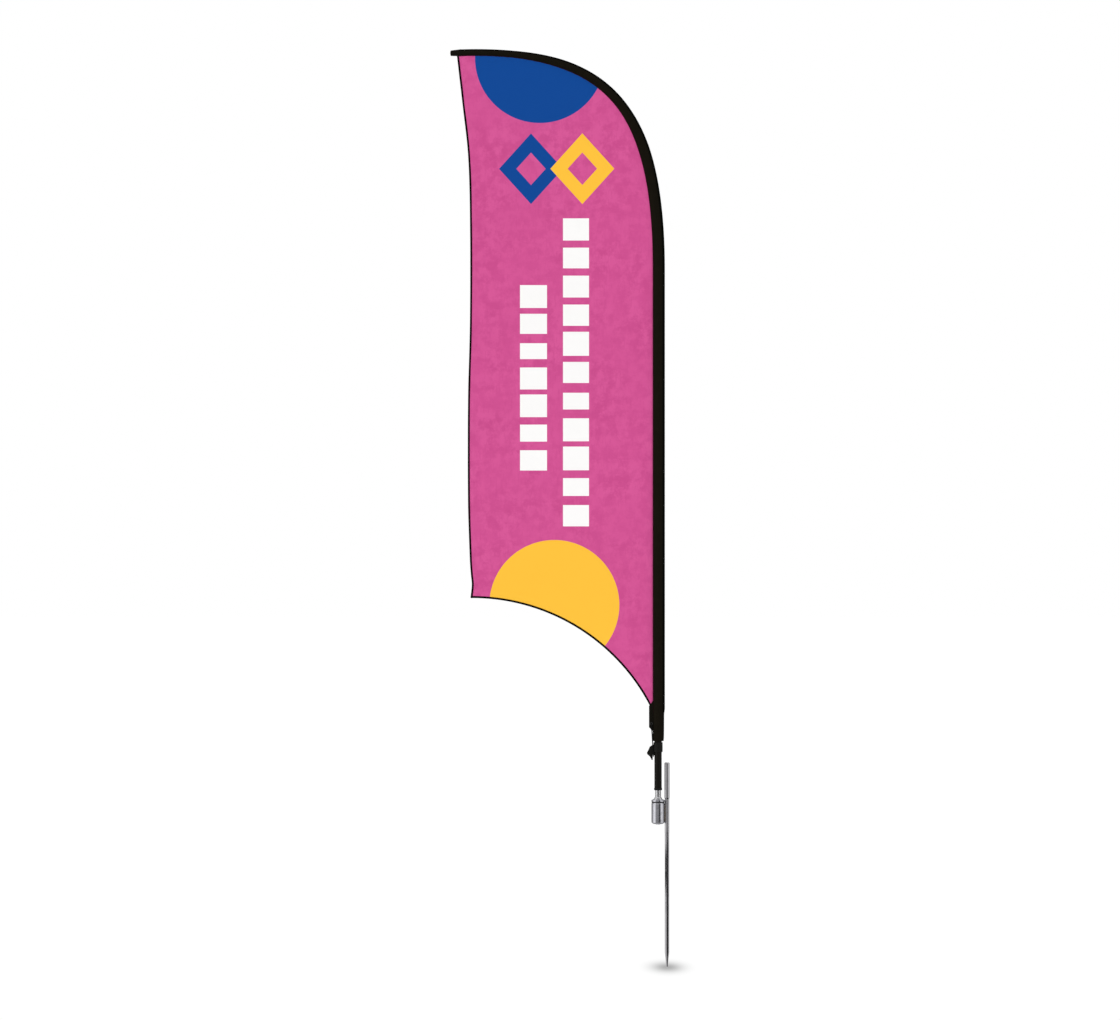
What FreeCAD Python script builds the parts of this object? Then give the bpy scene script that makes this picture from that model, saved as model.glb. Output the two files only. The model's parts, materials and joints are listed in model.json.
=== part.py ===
import FreeCAD, Part
import math
import os

# A small feather flag: a ground spike with a welded bearing housing, a spindle that turns in it, a pole
# in three pieces with a bent tip, and a printed flag that an elastic loop pulls down over the pole.
# Millimetres, +Z up. The origin is on the spike's axis at the ground line, and the flag flies towards -X.

V = FreeCAD.Vector
UP = V(0, 0, 1)
ACROSS = V(0, 1, 0)

# Ground spike, turned from one bar
SHANK_R = 6.5
NECK_R = 6.8
HEAD_R = 7.7
HEAD_TOP_Z = 211.5
NECK_TOP_Z = 102.0
HEAD_SHOULDER = 4.0
HEAD_CHAMFER = 1.8
POINT_START_Z = -358.0
POINT_WAIST = (4.4, -376.0)
NIB_START = (3.2, -391.0)
TIP_Z = -400.5
TIP_R = 2.7

# Bearing housing, a tube welded against the spike's neck
HOUSING_R = 20.0
HOUSING_BORE_R = 17.5
HOUSING_LOW_Z = 30.0
HOUSING_HIGH_Z = 91.0
HOUSING_FOOT_BEVEL = 2.2
HOUSING_TOP_BEVEL = (1.2, 3.0)
CAP_LOW_Z = 94.6
CAP_HIGH_Z = 102.0
CAP_BEVEL = (6.0, 3.4)
CAP_NECK_R = 18.2
CAP_BORE_R = 10.5
SEAL_R = 19.6
SEAL_BEVEL = 0.7
PLUG_LOW_Z = 28.0
PLUG_FLOOR_Z = 33.0
PLUG_RIM_R = 15.0
PLUG_BOSS_Z = 25.8
PLUG_BOSS_R = (6.0, 7.5)
EDGE_BREAK = 0.8
BEAD_R = 2.6
BEAD_X = -6.3
BEAD_Y = 4.2
BEAD_END_GAP = 6.0
POLE_X = -(HOUSING_R + NECK_R)

# Two deep-groove ball bearings, 17 x 35 x 10
BEARING_WIDTH = 10.0
BEARING_BORE_R = 8.5
INNER_LAND_R = 10.9
OUTER_LAND_R = 15.1
PITCH_R = 13.0
BALL_R = 2.38
BALL_COUNT = 10
GROOVE_R = 2.48
CAGE_R = (12.2, 13.8)
CAGE_HEIGHT = 6.6
SHIELD_R = (11.2, 15.1)
SHIELD_THICKNESS = 0.6
LOWER_BEARING_Z = 38.0
UPPER_BEARING_Z = 78.0
SPACER_WALL = 1.9

# Spindle
SPINDLE_FOOT_Z = 34.0
COLLAR_R = 10.0
FLINGER_R = 11.6
FLINGER_Z = (102.8, 105.2, 108.0)
STUB_R = 9.0
POLE_FOOT_Z = 129.0
SPIGOT_R = 8.0
SPIGOT_HEIGHT = 150.0
SPIGOT_CHAMFER = 2.0
CIRCLIP_Z = (35.0, 36.1)
CIRCLIP_GROOVE_R = 7.9
CIRCLIP_R = 10.2
CIRCLIP_GAP = 5.0
WASHER_R = 10.6

# Pole: two straight tubes that plug into each other and a tapered, bent tip rod
FIT_GAP = 0.08
BASE_TUBE_R = 11.0
MID_TUBE_R = SPIGOT_R
TIP_ROD_R = 5.0
TIP_ROD_END_R = 2.5
PLUG_DEPTH = 100.0
BASE_TUBE_TOP_Z = 1030.0
MID_TUBE_TOP_Z = 1680.0
STOP_HEIGHT = 6.0
STOP_WALL = 2.0
FERRULE_WALL = 1.0
FERRULE_HEIGHT = 22.0
FOOT_RIM_HEIGHT = 6.0
TIP_CAP_R = 3.9
TIP_CAP_LENGTH = 14.0

# The bend of the pole's axis: one cubic curve, from its upright start over a shoulder to its drooping end
BEND_Z = 1687.0
BEND_HANDLE = 504.0
BEND_SHOULDER = (-179.0, 2360.5)
BEND_END = (-651.0, 2338.2)
SLEEVE_STATIONS = 15
POLE_END_SHARE = 0.983

# Sleeve: a flattened tube, widths measured from the pole's axis to each crease
SLEEVE_FOOT_Z = 276.0
SLEEVE_IN = (15.2, 9.0)
SLEEVE_OUT = (19.9, 11.5)
SLEEVE_HALF_DEPTH = (14.0, 6.5)
SLEEVE_WALL = 0.8
SLEEVE_END_SHARE = 0.989
SEAM_HALF = 0.5
PATCH_WALL = 0.8
PATCH_START_SHARE = 0.968

# Printed panel and its bound edges
PANEL_HALF = 0.5
HEM_HALF = 1.0
HEM_WIDTH = 6.0
BOTTOM_ARC_X = -585.5
BOTTOM_ARC_Z = 107.1
BOTTOM_ARC_R = 597.9
FLY_POINTS = (
    (-591.5, 680.0),
    (-588.8, 710.0),
    (-585.6, 746.0),
    (-588.4, 776.0),
    (-591.4, 820.0),
    (-597.0, 1000.0),
    (-597.0, 1300.0),
    (-591.0, 1540.0),
    (-591.0, 1840.0),
    (-597.0, 2034.0),
    (-615.0, 2199.0),
    (-630.0, 2330.0),
    (-634.0, 2370.0),
)
CUT_ROOM = 60.0

# Webbing tab at the foot of the flag, with its eyelet
TAB_LEFT_X = -54.0
TAB_RIGHT_X = -41.0
TAB_CORNERS_Z = (317.0, 304.0, 399.0, 381.0)
TAB_HALF = 1.3
EYELET_X = -46.8
EYELET_Z = 328.0
EYELET_BARREL_R = (2.6, 3.2)
EYELET_FLANGE_R = 4.4
EYELET_FLANGE = 0.6

# Tension hook on the bare foot of the pole
HOOK_COLLAR_R = 13.8
HOOK_LOW_Z = 243.0
HOOK_HIGH_Z = 272.0
HOOK_HALF = 4.0
HOOK_ROOT_X = -37.5
HOOK_SLOT_X = -43.0
HOOK_SLOT_TOP_Z = 233.5
HOOK_FOOT_Z = 219.5
FIN_OUTLINE = (
    (HOOK_ROOT_X, HOOK_HIGH_Z - 7.0),
    (-42.5, HOOK_HIGH_Z - 7.0),
    (-51.8, 258.7),
    (-55.2, 250.5),
    (-60.0, 241.0),
    (-59.6, 237.0),
    (-52.5, 230.8),
    (-48.6, 225.0),
    (-46.0, HOOK_FOOT_Z),
    (HOOK_SLOT_X, HOOK_FOOT_Z),
    (HOOK_SLOT_X, HOOK_SLOT_TOP_Z),
    (HOOK_ROOT_X, HOOK_SLOT_TOP_Z),
)

# Elastic loop from the hook to the eyelet
LOOP_CORD_R = 1.5
LOOP_HALF = 6.5
LOOP_FOOT = (-40.7, 230.0)
LOOP_TOP = (EYELET_X, 327.5)
CRIMP_R = 2.9
CRIMP_LENGTH = 11.0
CRIMP_SHARE = 0.86


def save(node, *solids):
    """Write one node: a single solid, or a group of separate ones."""
    shape = solids[0] if len(solids) == 1 else Part.makeCompound(list(solids))
    count = len(shape.Solids)
    if not shape.isValid() or count != len(solids):
        raise ValueError(f"{node}: valid {shape.isValid()}, {count} solids, {len(solids)} wanted")
    shape.exportStep(f"parts/{node}.step")


def turned(profile, x=POLE_X):
    """Revolve an outline of (radius, z) points about the vertical line at x."""
    points = [V(x + r, 0, z) for r, z in profile]
    face = Part.Face(Part.makePolygon(points + points[:1]))
    return face.revolve(V(x, 0, 0), UP, 360)


def tube(outer, inner, low, high, x=POLE_X):
    return turned([(inner, low), (outer, low), (outer, high), (inner, high)], x)


def plate(outline, half):
    """A flat plate in the XZ plane, from (x, z) points, with Y from -half to +half."""
    points = [V(x, -half, z) for x, z in outline]
    face = Part.Face(Part.makePolygon(points + points[:1]))
    return face.extrude(ACROSS * (2 * half))


# Ground spike and housing


def spike_rod():
    return turned(
        [
            (0, TIP_Z),
            (TIP_R, TIP_Z),
            NIB_START,
            POINT_WAIST,
            (SHANK_R, POINT_START_Z),
            (SHANK_R, 0),
            (NECK_R, 0),
            (NECK_R, NECK_TOP_Z),
            (HEAD_R, NECK_TOP_Z + HEAD_SHOULDER),
            (HEAD_R, HEAD_TOP_Z - HEAD_CHAMFER),
            (HEAD_R - HEAD_CHAMFER, HEAD_TOP_Z),
            (0, HEAD_TOP_Z),
        ],
        x=0,
    )


def housing_tube():
    return turned(
        [
            (HOUSING_BORE_R, HOUSING_LOW_Z),
            (HOUSING_R - HOUSING_FOOT_BEVEL, HOUSING_LOW_Z),
            (HOUSING_R, HOUSING_LOW_Z + HOUSING_FOOT_BEVEL),
            (HOUSING_R, HOUSING_HIGH_Z - HOUSING_TOP_BEVEL[1]),
            (HOUSING_R - HOUSING_TOP_BEVEL[0], HOUSING_HIGH_Z),
            (HOUSING_BORE_R, HOUSING_HIGH_Z),
        ]
    )


def housing_cap():
    """Pressed into the tube: its skirt holds the upper bearing, and its neck carries the groove's seal."""
    return turned(
        [
            (CAP_BORE_R, CAP_LOW_Z),
            (PLUG_RIM_R, CAP_LOW_Z),
            (PLUG_RIM_R, UPPER_BEARING_Z + BEARING_WIDTH),
            (HOUSING_BORE_R, UPPER_BEARING_Z + BEARING_WIDTH),
            (HOUSING_BORE_R, HOUSING_HIGH_Z),
            (CAP_NECK_R, HOUSING_HIGH_Z),
            (CAP_NECK_R, CAP_LOW_Z),
            (HOUSING_R - EDGE_BREAK, CAP_LOW_Z),
            (HOUSING_R, CAP_LOW_Z + EDGE_BREAK),
            (HOUSING_R, CAP_HIGH_Z - CAP_BEVEL[1]),
            (HOUSING_R - CAP_BEVEL[0], CAP_HIGH_Z),
            (CAP_BORE_R, CAP_HIGH_Z),
        ]
    )


def housing_seal():
    """A rubber ring round the cap's neck, which keeps rain out of the joint."""
    return turned(
        [
            (CAP_NECK_R, HOUSING_HIGH_Z),
            (SEAL_R - SEAL_BEVEL, HOUSING_HIGH_Z),
            (SEAL_R, HOUSING_HIGH_Z + SEAL_BEVEL),
            (SEAL_R, CAP_LOW_Z - SEAL_BEVEL),
            (SEAL_R - SEAL_BEVEL, CAP_LOW_Z),
            (CAP_NECK_R, CAP_LOW_Z),
        ]
    )


def housing_plug():
    """Closes the tube's foot, and its rim carries the lower bearing's outer race."""
    return turned(
        [
            (0, PLUG_BOSS_Z),
            (PLUG_BOSS_R[0], PLUG_BOSS_Z),
            (PLUG_BOSS_R[1], PLUG_LOW_Z),
            (PLUG_RIM_R, PLUG_LOW_Z),
            (HOUSING_BORE_R, HOUSING_LOW_Z),
            (HOUSING_BORE_R, LOWER_BEARING_Z),
            (PLUG_RIM_R, LOWER_BEARING_Z),
            (PLUG_RIM_R, PLUG_FLOOR_Z),
            (0, PLUG_FLOOR_Z),
        ]
    )


def weld_bead(side):
    """One fillet of weld in the crevice between the spike's neck and the housing."""
    low = HOUSING_LOW_Z + BEAD_END_GAP
    length = HOUSING_HIGH_Z - BEAD_END_GAP - low
    bead = Part.makeCylinder(BEAD_R, length, V(BEAD_X, side * BEAD_Y, low))
    neck = Part.makeCylinder(NECK_R, length, V(0, 0, low))
    wall = Part.makeCylinder(HOUSING_R, length, V(POLE_X, 0, low))
    return bead.cut(neck).cut(wall)


# Bearings


def round_pole(solid, count):
    """Copies of a solid at even steps about the pole's axis."""
    copies = []
    for i in range(count):
        copy = solid.copy()
        copy.rotate(V(POLE_X, 0, 0), UP, 360 * i / count)
        copies.append(copy)
    return copies


def save_bearing(name, low):
    high = low + BEARING_WIDTH
    middle = low + BEARING_WIDTH / 2
    groove = Part.makeTorus(PITCH_R, GROOVE_R, V(POLE_X, 0, middle), UP)
    save(f"{name}_outer_race", tube(HOUSING_BORE_R, OUTER_LAND_R, low, high).cut(groove))
    save(f"{name}_inner_race", tube(INNER_LAND_R, BEARING_BORE_R, low, high).cut(groove))
    ball = Part.makeSphere(BALL_R, V(POLE_X + PITCH_R, 0, middle))
    save(f"{name}_balls", *round_pole(ball, BALL_COUNT))
    cage = tube(CAGE_R[1], CAGE_R[0], middle - CAGE_HEIGHT / 2, middle + CAGE_HEIGHT / 2)
    pocket = Part.makeCylinder(GROOVE_R, 2 * BALL_R, V(POLE_X + PITCH_R - BALL_R, 0, middle), V(1, 0, 0))
    save(f"{name}_cage", cage.cut(round_pole(pocket, BALL_COUNT)))
    lower_shield = tube(SHIELD_R[1], SHIELD_R[0], low, low + SHIELD_THICKNESS)
    upper_shield = tube(SHIELD_R[1], SHIELD_R[0], high - SHIELD_THICKNESS, high)
    save(f"{name}_shields", lower_shield, upper_shield)


def save_spacers():
    low = LOWER_BEARING_Z + BEARING_WIDTH
    high = UPPER_BEARING_Z
    save("outer_race_spacer", tube(HOUSING_BORE_R, HOUSING_BORE_R - SPACER_WALL, low, high))
    save("inner_race_spacer", tube(BEARING_BORE_R + SPACER_WALL, BEARING_BORE_R, low, high))


# Spindle


def spindle():
    foot, lip, shoulder = FLINGER_Z
    top = POLE_FOOT_Z + SPIGOT_HEIGHT
    return turned(
        [
            (0, SPINDLE_FOOT_Z),
            (BEARING_BORE_R, SPINDLE_FOOT_Z),
            (BEARING_BORE_R, CIRCLIP_Z[0]),
            (CIRCLIP_GROOVE_R, CIRCLIP_Z[0]),
            (CIRCLIP_GROOVE_R, CIRCLIP_Z[1]),
            (BEARING_BORE_R, CIRCLIP_Z[1]),
            (BEARING_BORE_R, UPPER_BEARING_Z + BEARING_WIDTH),
            (COLLAR_R, UPPER_BEARING_Z + BEARING_WIDTH),
            (COLLAR_R, foot),
            (FLINGER_R, foot),
            (FLINGER_R, lip),
            (STUB_R, shoulder),
            (STUB_R, POLE_FOOT_Z),
            (SPIGOT_R, POLE_FOOT_Z),
            (SPIGOT_R, top - SPIGOT_CHAMFER),
            (SPIGOT_R - SPIGOT_CHAMFER, top),
            (0, top),
        ]
    )


def circlip():
    low, high = CIRCLIP_Z
    ring = tube(CIRCLIP_R, CIRCLIP_GROOVE_R, low, high)
    corner = V(POLE_X, -CIRCLIP_GAP / 2, low)
    return ring.cut(Part.makeBox(CIRCLIP_R + CIRCLIP_GAP, CIRCLIP_GAP, high - low, corner))


# The bend


def bend_edge():
    """The pole's axis from the start of the bend to the sleeve's end, as one smooth edge."""
    curve = Part.BezierCurve()
    curve.setPoles(
        [
            V(POLE_X, 0, BEND_Z),
            V(POLE_X, 0, BEND_Z + BEND_HANDLE),
            V(BEND_SHOULDER[0], 0, BEND_SHOULDER[1]),
            V(BEND_END[0], 0, BEND_END[1]),
        ]
    )
    return curve.toShape()


BEND = bend_edge()


def station(share):
    """Where a section sits on the bend: local X points away from the flag and local Z along the axis."""
    parameter = BEND.getParameterByLength(BEND.Length * share)
    along = BEND.tangentAt(parameter)
    lean = math.degrees(math.atan2(along.x, along.z))
    return FreeCAD.Placement(BEND.valueAt(parameter), FreeCAD.Rotation(ACROSS, lean))


def placed(wire, share):
    copy = wire.copy()
    copy.Placement = station(share)
    return copy


def shares(low, high, count):
    return [low + (high - low) * i / (count - 1) for i in range(count)]


def between(ends, share):
    return ends[0] + (ends[1] - ends[0]) * share


def lens(share, grown=0.0):
    """The sleeve's section: two arcs between its creases, blunt where the panel joins it."""
    inner = between(SLEEVE_IN, share) + grown
    outer = between(SLEEVE_OUT, share) + 2 * grown
    depth = between(SLEEVE_HALF_DEPTH, share) + grown
    middle = (outer - inner) / 2
    front = Part.Arc(V(-inner, -SEAM_HALF, 0), V(middle, -depth, 0), V(outer, 0, 0))
    back = Part.Arc(V(outer, 0, 0), V(middle, depth, 0), V(-inner, SEAM_HALF, 0))
    seam = Part.LineSegment(V(-inner, SEAM_HALF, 0), V(-inner, -SEAM_HALF, 0))
    return Part.Wire([front.toShape(), back.toShape(), seam.toShape()])


def sleeve_bend(low, high, grown=0.0):
    """The sleeve's solid outer shape over one stretch of the bend."""
    count = max(3, round(SLEEVE_STATIONS * (high - low)))
    sections = [placed(lens(share, grown), share) for share in shares(low, high, count)]
    return Part.makeLoft(sections, True, False)


def sleeve_straight(foot, grown=0.0):
    face = Part.Face(lens(0, grown))
    face.translate(V(POLE_X, 0, foot))
    return face.extrude(UP * (BEND_Z - foot))


# Pole


def base_tube():
    return tube(BASE_TUBE_R, SPIGOT_R + FIT_GAP, POLE_FOOT_Z, BASE_TUBE_TOP_Z)


def mid_tube():
    low = BASE_TUBE_TOP_Z - PLUG_DEPTH
    return tube(MID_TUBE_R, TIP_ROD_R + FIT_GAP, low, MID_TUBE_TOP_Z)


def stop_ring(radius, top):
    """Pinned inside a tube, under the end of the piece that plugs in."""
    return tube(radius, radius - STOP_WALL, top - STOP_HEIGHT, top)


def ferrule(radius, top, height):
    """Crimped round the mouth of a tube, flush with its end."""
    return tube(radius + FERRULE_WALL, radius, top - height, top)


def rod_radius(share):
    return between((TIP_ROD_R, TIP_ROD_END_R), share / POLE_END_SHARE)


def tip_rod():
    low = MID_TUBE_TOP_Z - PLUG_DEPTH
    straight = Part.makeCylinder(TIP_ROD_R, BEND_Z - low, V(POLE_X, 0, low))
    sections = []
    for share in shares(0, POLE_END_SHARE, SLEEVE_STATIONS):
        circle = Part.Wire([Part.makeCircle(rod_radius(share))])
        sections.append(placed(circle, share))
    return straight.fuse(Part.makeLoft(sections, True, False)).removeSplitter()


def tip_cap():
    """A moulded cap with a domed end that keeps the rod from wearing through the sleeve."""
    dome_start = TIP_CAP_R / 2
    skirt = Part.makeCylinder(TIP_CAP_R, TIP_CAP_LENGTH, V(0, 0, dome_start - TIP_CAP_LENGTH))
    dome = Part.makeSphere(TIP_CAP_R, V(0, 0, dome_start))
    cap = skirt.fuse(dome).removeSplitter()
    cap.Placement = station(POLE_END_SHARE)
    return cap


# Flag


def filled_sleeve():
    return sleeve_straight(SLEEVE_FOOT_Z).fuse(sleeve_bend(0, SLEEVE_END_SHARE))


def sleeve_room():
    """The hollow that the pole goes into, run past both ends."""
    straight = sleeve_straight(SLEEVE_FOOT_Z - CUT_ROOM, -SLEEVE_WALL)
    return straight.fuse(sleeve_bend(0, 1, -SLEEVE_WALL))


def sleeve_end_patch(filled):
    """Webbing folded over the sleeve's end: a band round it and a wall across it."""
    return largest(sleeve_bend(PATCH_START_SHARE, 1, PATCH_WALL).cut(filled))


def largest(shape):
    """The main solid of a cut, without the crumbs beyond the cutting edges."""
    return max(shape.Solids, key=lambda solid: solid.Volume)


def fly_side(shift):
    """Everything beyond the fly edge, with the edge moved inwards by shift."""
    curve = Part.BSplineCurve()
    curve.interpolate(Points=[V(x + shift, -CUT_ROOM, z) for x, z in FLY_POINTS])
    foot = curve.StartPoint
    head = curve.EndPoint
    far_head = V(head.x - 2 * CUT_ROOM, head.y, head.z)
    far_foot = V(head.x - 2 * CUT_ROOM, foot.y, foot.z)
    edges = [curve.toShape(), Part.makePolygon([head, far_head, far_foot, foot])]
    return Part.Face(Part.Wire(edges)).extrude(ACROSS * (2 * CUT_ROOM))


def bottom_side(shift):
    """Everything below the arched bottom edge, with the edge moved inwards by shift."""
    centre = V(BOTTOM_ARC_X, -CUT_ROOM, BOTTOM_ARC_Z)
    return Part.makeCylinder(BOTTOM_ARC_R + shift, 2 * CUT_ROOM, centre, ACROSS)


def inside_sleeve(half):
    """A plate that fills the area between the sleeve's axis and the fly side, down past the bottom edge."""
    low = BOTTOM_ARC_Z
    far = FLY_POINTS[-1][0] - CUT_ROOM / 2
    corner = BEND.valueAt(BEND.LastParameter)
    bend = BEND.copy()
    outline = [corner, V(far, 0, corner.z), V(far, 0, low), V(POLE_X, 0, low), V(POLE_X, 0, BEND_Z)]
    face = Part.Face(Part.Wire([bend] + Part.makePolygon(outline).Edges))
    face.translate(ACROSS * -half)
    return face.extrude(ACROSS * (2 * half))


def tension_tab():
    low_left, low_right, high_right, high_left = TAB_CORNERS_Z
    outline = (
        (TAB_LEFT_X, low_left),
        (TAB_RIGHT_X, low_right),
        (TAB_RIGHT_X, high_right),
        (TAB_LEFT_X, high_left),
    )
    hole = Part.makeCylinder(EYELET_BARREL_R[1], 2 * CUT_ROOM, V(EYELET_X, -CUT_ROOM, EYELET_Z), ACROSS)
    return plate(outline, TAB_HALF).cut(hole)


def eyelet():
    inner, outer = EYELET_BARREL_R
    reach = TAB_HALF + EYELET_FLANGE
    profile = [
        (inner, -reach),
        (EYELET_FLANGE_R, -reach),
        (EYELET_FLANGE_R, -TAB_HALF),
        (outer, -TAB_HALF),
        (outer, TAB_HALF),
        (EYELET_FLANGE_R, TAB_HALF),
        (EYELET_FLANGE_R, reach),
        (inner, reach),
    ]
    ring = turned(profile, x=0)
    ring.Placement = FreeCAD.Placement(V(EYELET_X, 0, EYELET_Z), FreeCAD.Rotation(V(1, 0, 0), 90))
    return ring


def save_flag():
    filled = filled_sleeve()
    patch = sleeve_end_patch(filled)
    tab = tension_tab().cut(filled)
    others = [filled, patch, tab]
    panel = inside_sleeve(PANEL_HALF).cut(fly_side(HEM_WIDTH)).cut(bottom_side(HEM_WIDTH))
    band = inside_sleeve(HEM_HALF).cut(fly_side(0)).cut(bottom_side(0))
    bottom_hem = band.common(bottom_side(HEM_WIDTH))
    fly_hem = band.common(fly_side(HEM_WIDTH)).cut(bottom_side(HEM_WIDTH))
    save("flag_sleeve", filled.cut(sleeve_room()))
    save("sleeve_end_patch", patch)
    save("flag_panel", largest(panel.cut(others)))
    save("fly_hem", largest(fly_hem.cut(others)))
    save("bottom_hem", largest(bottom_hem.cut(others)))
    save("tension_tab", tab)
    save("tab_eyelet", eyelet())


# Tension hook and elastic loop


def tension_hook():
    low = HOOK_LOW_Z
    high = HOOK_HIGH_Z
    collar = turned(
        [
            (0, low),
            (HOOK_COLLAR_R - 2 * EDGE_BREAK, low),
            (HOOK_COLLAR_R, low + 2 * EDGE_BREAK),
            (HOOK_COLLAR_R, high - EDGE_BREAK),
            (HOOK_COLLAR_R - EDGE_BREAK, high),
            (0, high),
        ]
    )
    bore = Part.makeCylinder(BASE_TUBE_R + FIT_GAP, 2 * (high - low), V(POLE_X, 0, low - (high - low) / 2))
    return collar.fuse(plate(FIN_OUTLINE, HOOK_HALF)).cut(bore).removeSplitter()


def loop_frame():
    """The length of the loop's straight strands, and its placement from its own upright frame at its foot."""
    foot = V(LOOP_FOOT[0], 0, LOOP_FOOT[1])
    top = V(LOOP_TOP[0], 0, LOOP_TOP[1])
    along = top - foot
    lean = math.degrees(math.atan2(along.x, along.z))
    return along.Length - 2 * LOOP_HALF, FreeCAD.Placement(foot, FreeCAD.Rotation(ACROSS, lean))


def half_turn(height, start_degrees):
    """Half of a ring of cord in the YZ plane, from start_degrees on, centred at height."""
    section = Part.Face(Part.Wire([Part.makeCircle(LOOP_CORD_R, V(0, LOOP_HALF, 0), UP)]))
    ring = section.revolve(V(0, 0, 0), V(1, 0, 0), 180)
    ring.rotate(V(0, 0, 0), V(1, 0, 0), start_degrees)
    ring.translate(V(0, 0, height))
    return ring


def elastic_loop():
    strand, placement = loop_frame()
    low = LOOP_HALF
    loop = half_turn(low + strand, 0).fuse(half_turn(low, 180))
    for side in (-1, 1):
        loop = loop.fuse(Part.makeCylinder(LOOP_CORD_R, strand, V(0, side * LOOP_HALF, low)))
    loop = loop.removeSplitter()
    loop.Placement = placement
    return loop


def loop_crimp():
    """A sleeve that joins the cord's two ends, on the strand behind the tab."""
    strand, placement = loop_frame()
    low = LOOP_HALF + strand * CRIMP_SHARE
    crimp = Part.makeCylinder(CRIMP_R, CRIMP_LENGTH, V(0, LOOP_HALF, low))
    crimp = crimp.cut(Part.makeCylinder(LOOP_CORD_R, CRIMP_LENGTH, V(0, LOOP_HALF, low)))
    crimp.Placement = placement
    return crimp


def main():
    save("spike_rod", spike_rod())
    save("housing_tube", housing_tube())
    save("housing_cap", housing_cap())
    save("housing_plug", housing_plug())
    save("housing_seal", housing_seal())
    save("housing_weld_beads", weld_bead(-1), weld_bead(1))
    save_bearing("lower_bearing", LOWER_BEARING_Z)
    save_bearing("upper_bearing", UPPER_BEARING_Z)
    save_spacers()

    save("spindle", spindle())
    save("spindle_circlip", circlip())
    save("spindle_washer", tube(WASHER_R, BEARING_BORE_R, CIRCLIP_Z[1], LOWER_BEARING_Z))

    save("pole_base_tube", base_tube())
    save("pole_mid_tube", mid_tube())
    save("pole_tip_rod", tip_rod())
    save("pole_tip_cap", tip_cap().cut(tip_rod()))
    save("pole_foot_rim", ferrule(BASE_TUBE_R, POLE_FOOT_Z + FOOT_RIM_HEIGHT, FOOT_RIM_HEIGHT))
    save("base_tube_ferrule", ferrule(BASE_TUBE_R, BASE_TUBE_TOP_Z, FERRULE_HEIGHT))
    save("mid_tube_ferrule", ferrule(MID_TUBE_R, MID_TUBE_TOP_Z, FERRULE_HEIGHT))
    save("base_tube_stop", stop_ring(SPIGOT_R + FIT_GAP, BASE_TUBE_TOP_Z - PLUG_DEPTH))
    save("mid_tube_stop", stop_ring(TIP_ROD_R + FIT_GAP, MID_TUBE_TOP_Z - PLUG_DEPTH))

    save_flag()
    save("tension_hook", tension_hook())
    save("elastic_loop", elastic_loop())
    save("loop_crimp", loop_crimp())


main()
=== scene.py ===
"""The looks of a feather flag: its printed cloth, sleeve, bindings, webbing, cord, weld and every material.

Metres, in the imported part's own frame: +Z up along the spike, and the flag flies from its pole towards -X.
"""

import bisect
import json
import math

import bpy
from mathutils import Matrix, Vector, noise
from mathutils.geometry import interpolate_bezier


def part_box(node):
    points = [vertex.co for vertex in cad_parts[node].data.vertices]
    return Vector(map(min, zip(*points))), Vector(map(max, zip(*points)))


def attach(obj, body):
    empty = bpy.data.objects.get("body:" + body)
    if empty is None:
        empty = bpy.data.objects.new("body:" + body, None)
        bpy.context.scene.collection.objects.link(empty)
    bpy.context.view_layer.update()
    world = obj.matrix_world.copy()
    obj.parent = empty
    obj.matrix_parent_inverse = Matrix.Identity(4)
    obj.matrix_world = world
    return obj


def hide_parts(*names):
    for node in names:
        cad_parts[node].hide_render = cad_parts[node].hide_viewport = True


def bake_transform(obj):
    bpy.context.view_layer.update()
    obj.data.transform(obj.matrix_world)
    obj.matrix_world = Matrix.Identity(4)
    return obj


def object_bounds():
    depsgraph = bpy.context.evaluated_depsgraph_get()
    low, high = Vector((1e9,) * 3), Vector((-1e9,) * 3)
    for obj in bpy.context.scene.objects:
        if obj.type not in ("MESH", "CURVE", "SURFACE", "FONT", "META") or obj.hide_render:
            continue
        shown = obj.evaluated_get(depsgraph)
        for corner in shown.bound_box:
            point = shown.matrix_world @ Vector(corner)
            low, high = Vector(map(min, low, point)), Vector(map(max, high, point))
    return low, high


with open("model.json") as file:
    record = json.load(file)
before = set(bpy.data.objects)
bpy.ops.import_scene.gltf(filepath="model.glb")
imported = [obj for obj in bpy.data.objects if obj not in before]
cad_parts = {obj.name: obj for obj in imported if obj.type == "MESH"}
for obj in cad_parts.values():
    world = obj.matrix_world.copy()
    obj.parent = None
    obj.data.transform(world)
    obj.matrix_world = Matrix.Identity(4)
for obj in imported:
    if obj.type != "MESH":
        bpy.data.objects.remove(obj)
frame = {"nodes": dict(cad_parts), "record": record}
CAD_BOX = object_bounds()

MM = 0.001
ACROSS = Vector((0, 1, 0))
CLOTH_GLOSS = 0.04
# The sleeve's attribute for where painted shade goes: its flat outer strip painted darker as shade, and a
# painted seam shadow beside the panel
PAINTED_SHADE_ZONE = "painted_shade_zone"

# The pole's axis: straight, then one cubic curve over a shoulder to its drooping end
TUBE_LOW, TUBE_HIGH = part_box("pole_base_tube")
POLE_X = (TUBE_LOW.x + TUBE_HIGH.x) / 2
BEND_Z = 1.687
BEND_HANDLE = 0.504
BEND_SHOULDER = Vector((-0.179, 0, 2.3605))
BEND_END = Vector((-0.651, 0, 2.3382))
BEND_STEPS = 200
SLEEVE_END_SHARE = 0.997
PATCH_START_SHARE = 0.968

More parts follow.
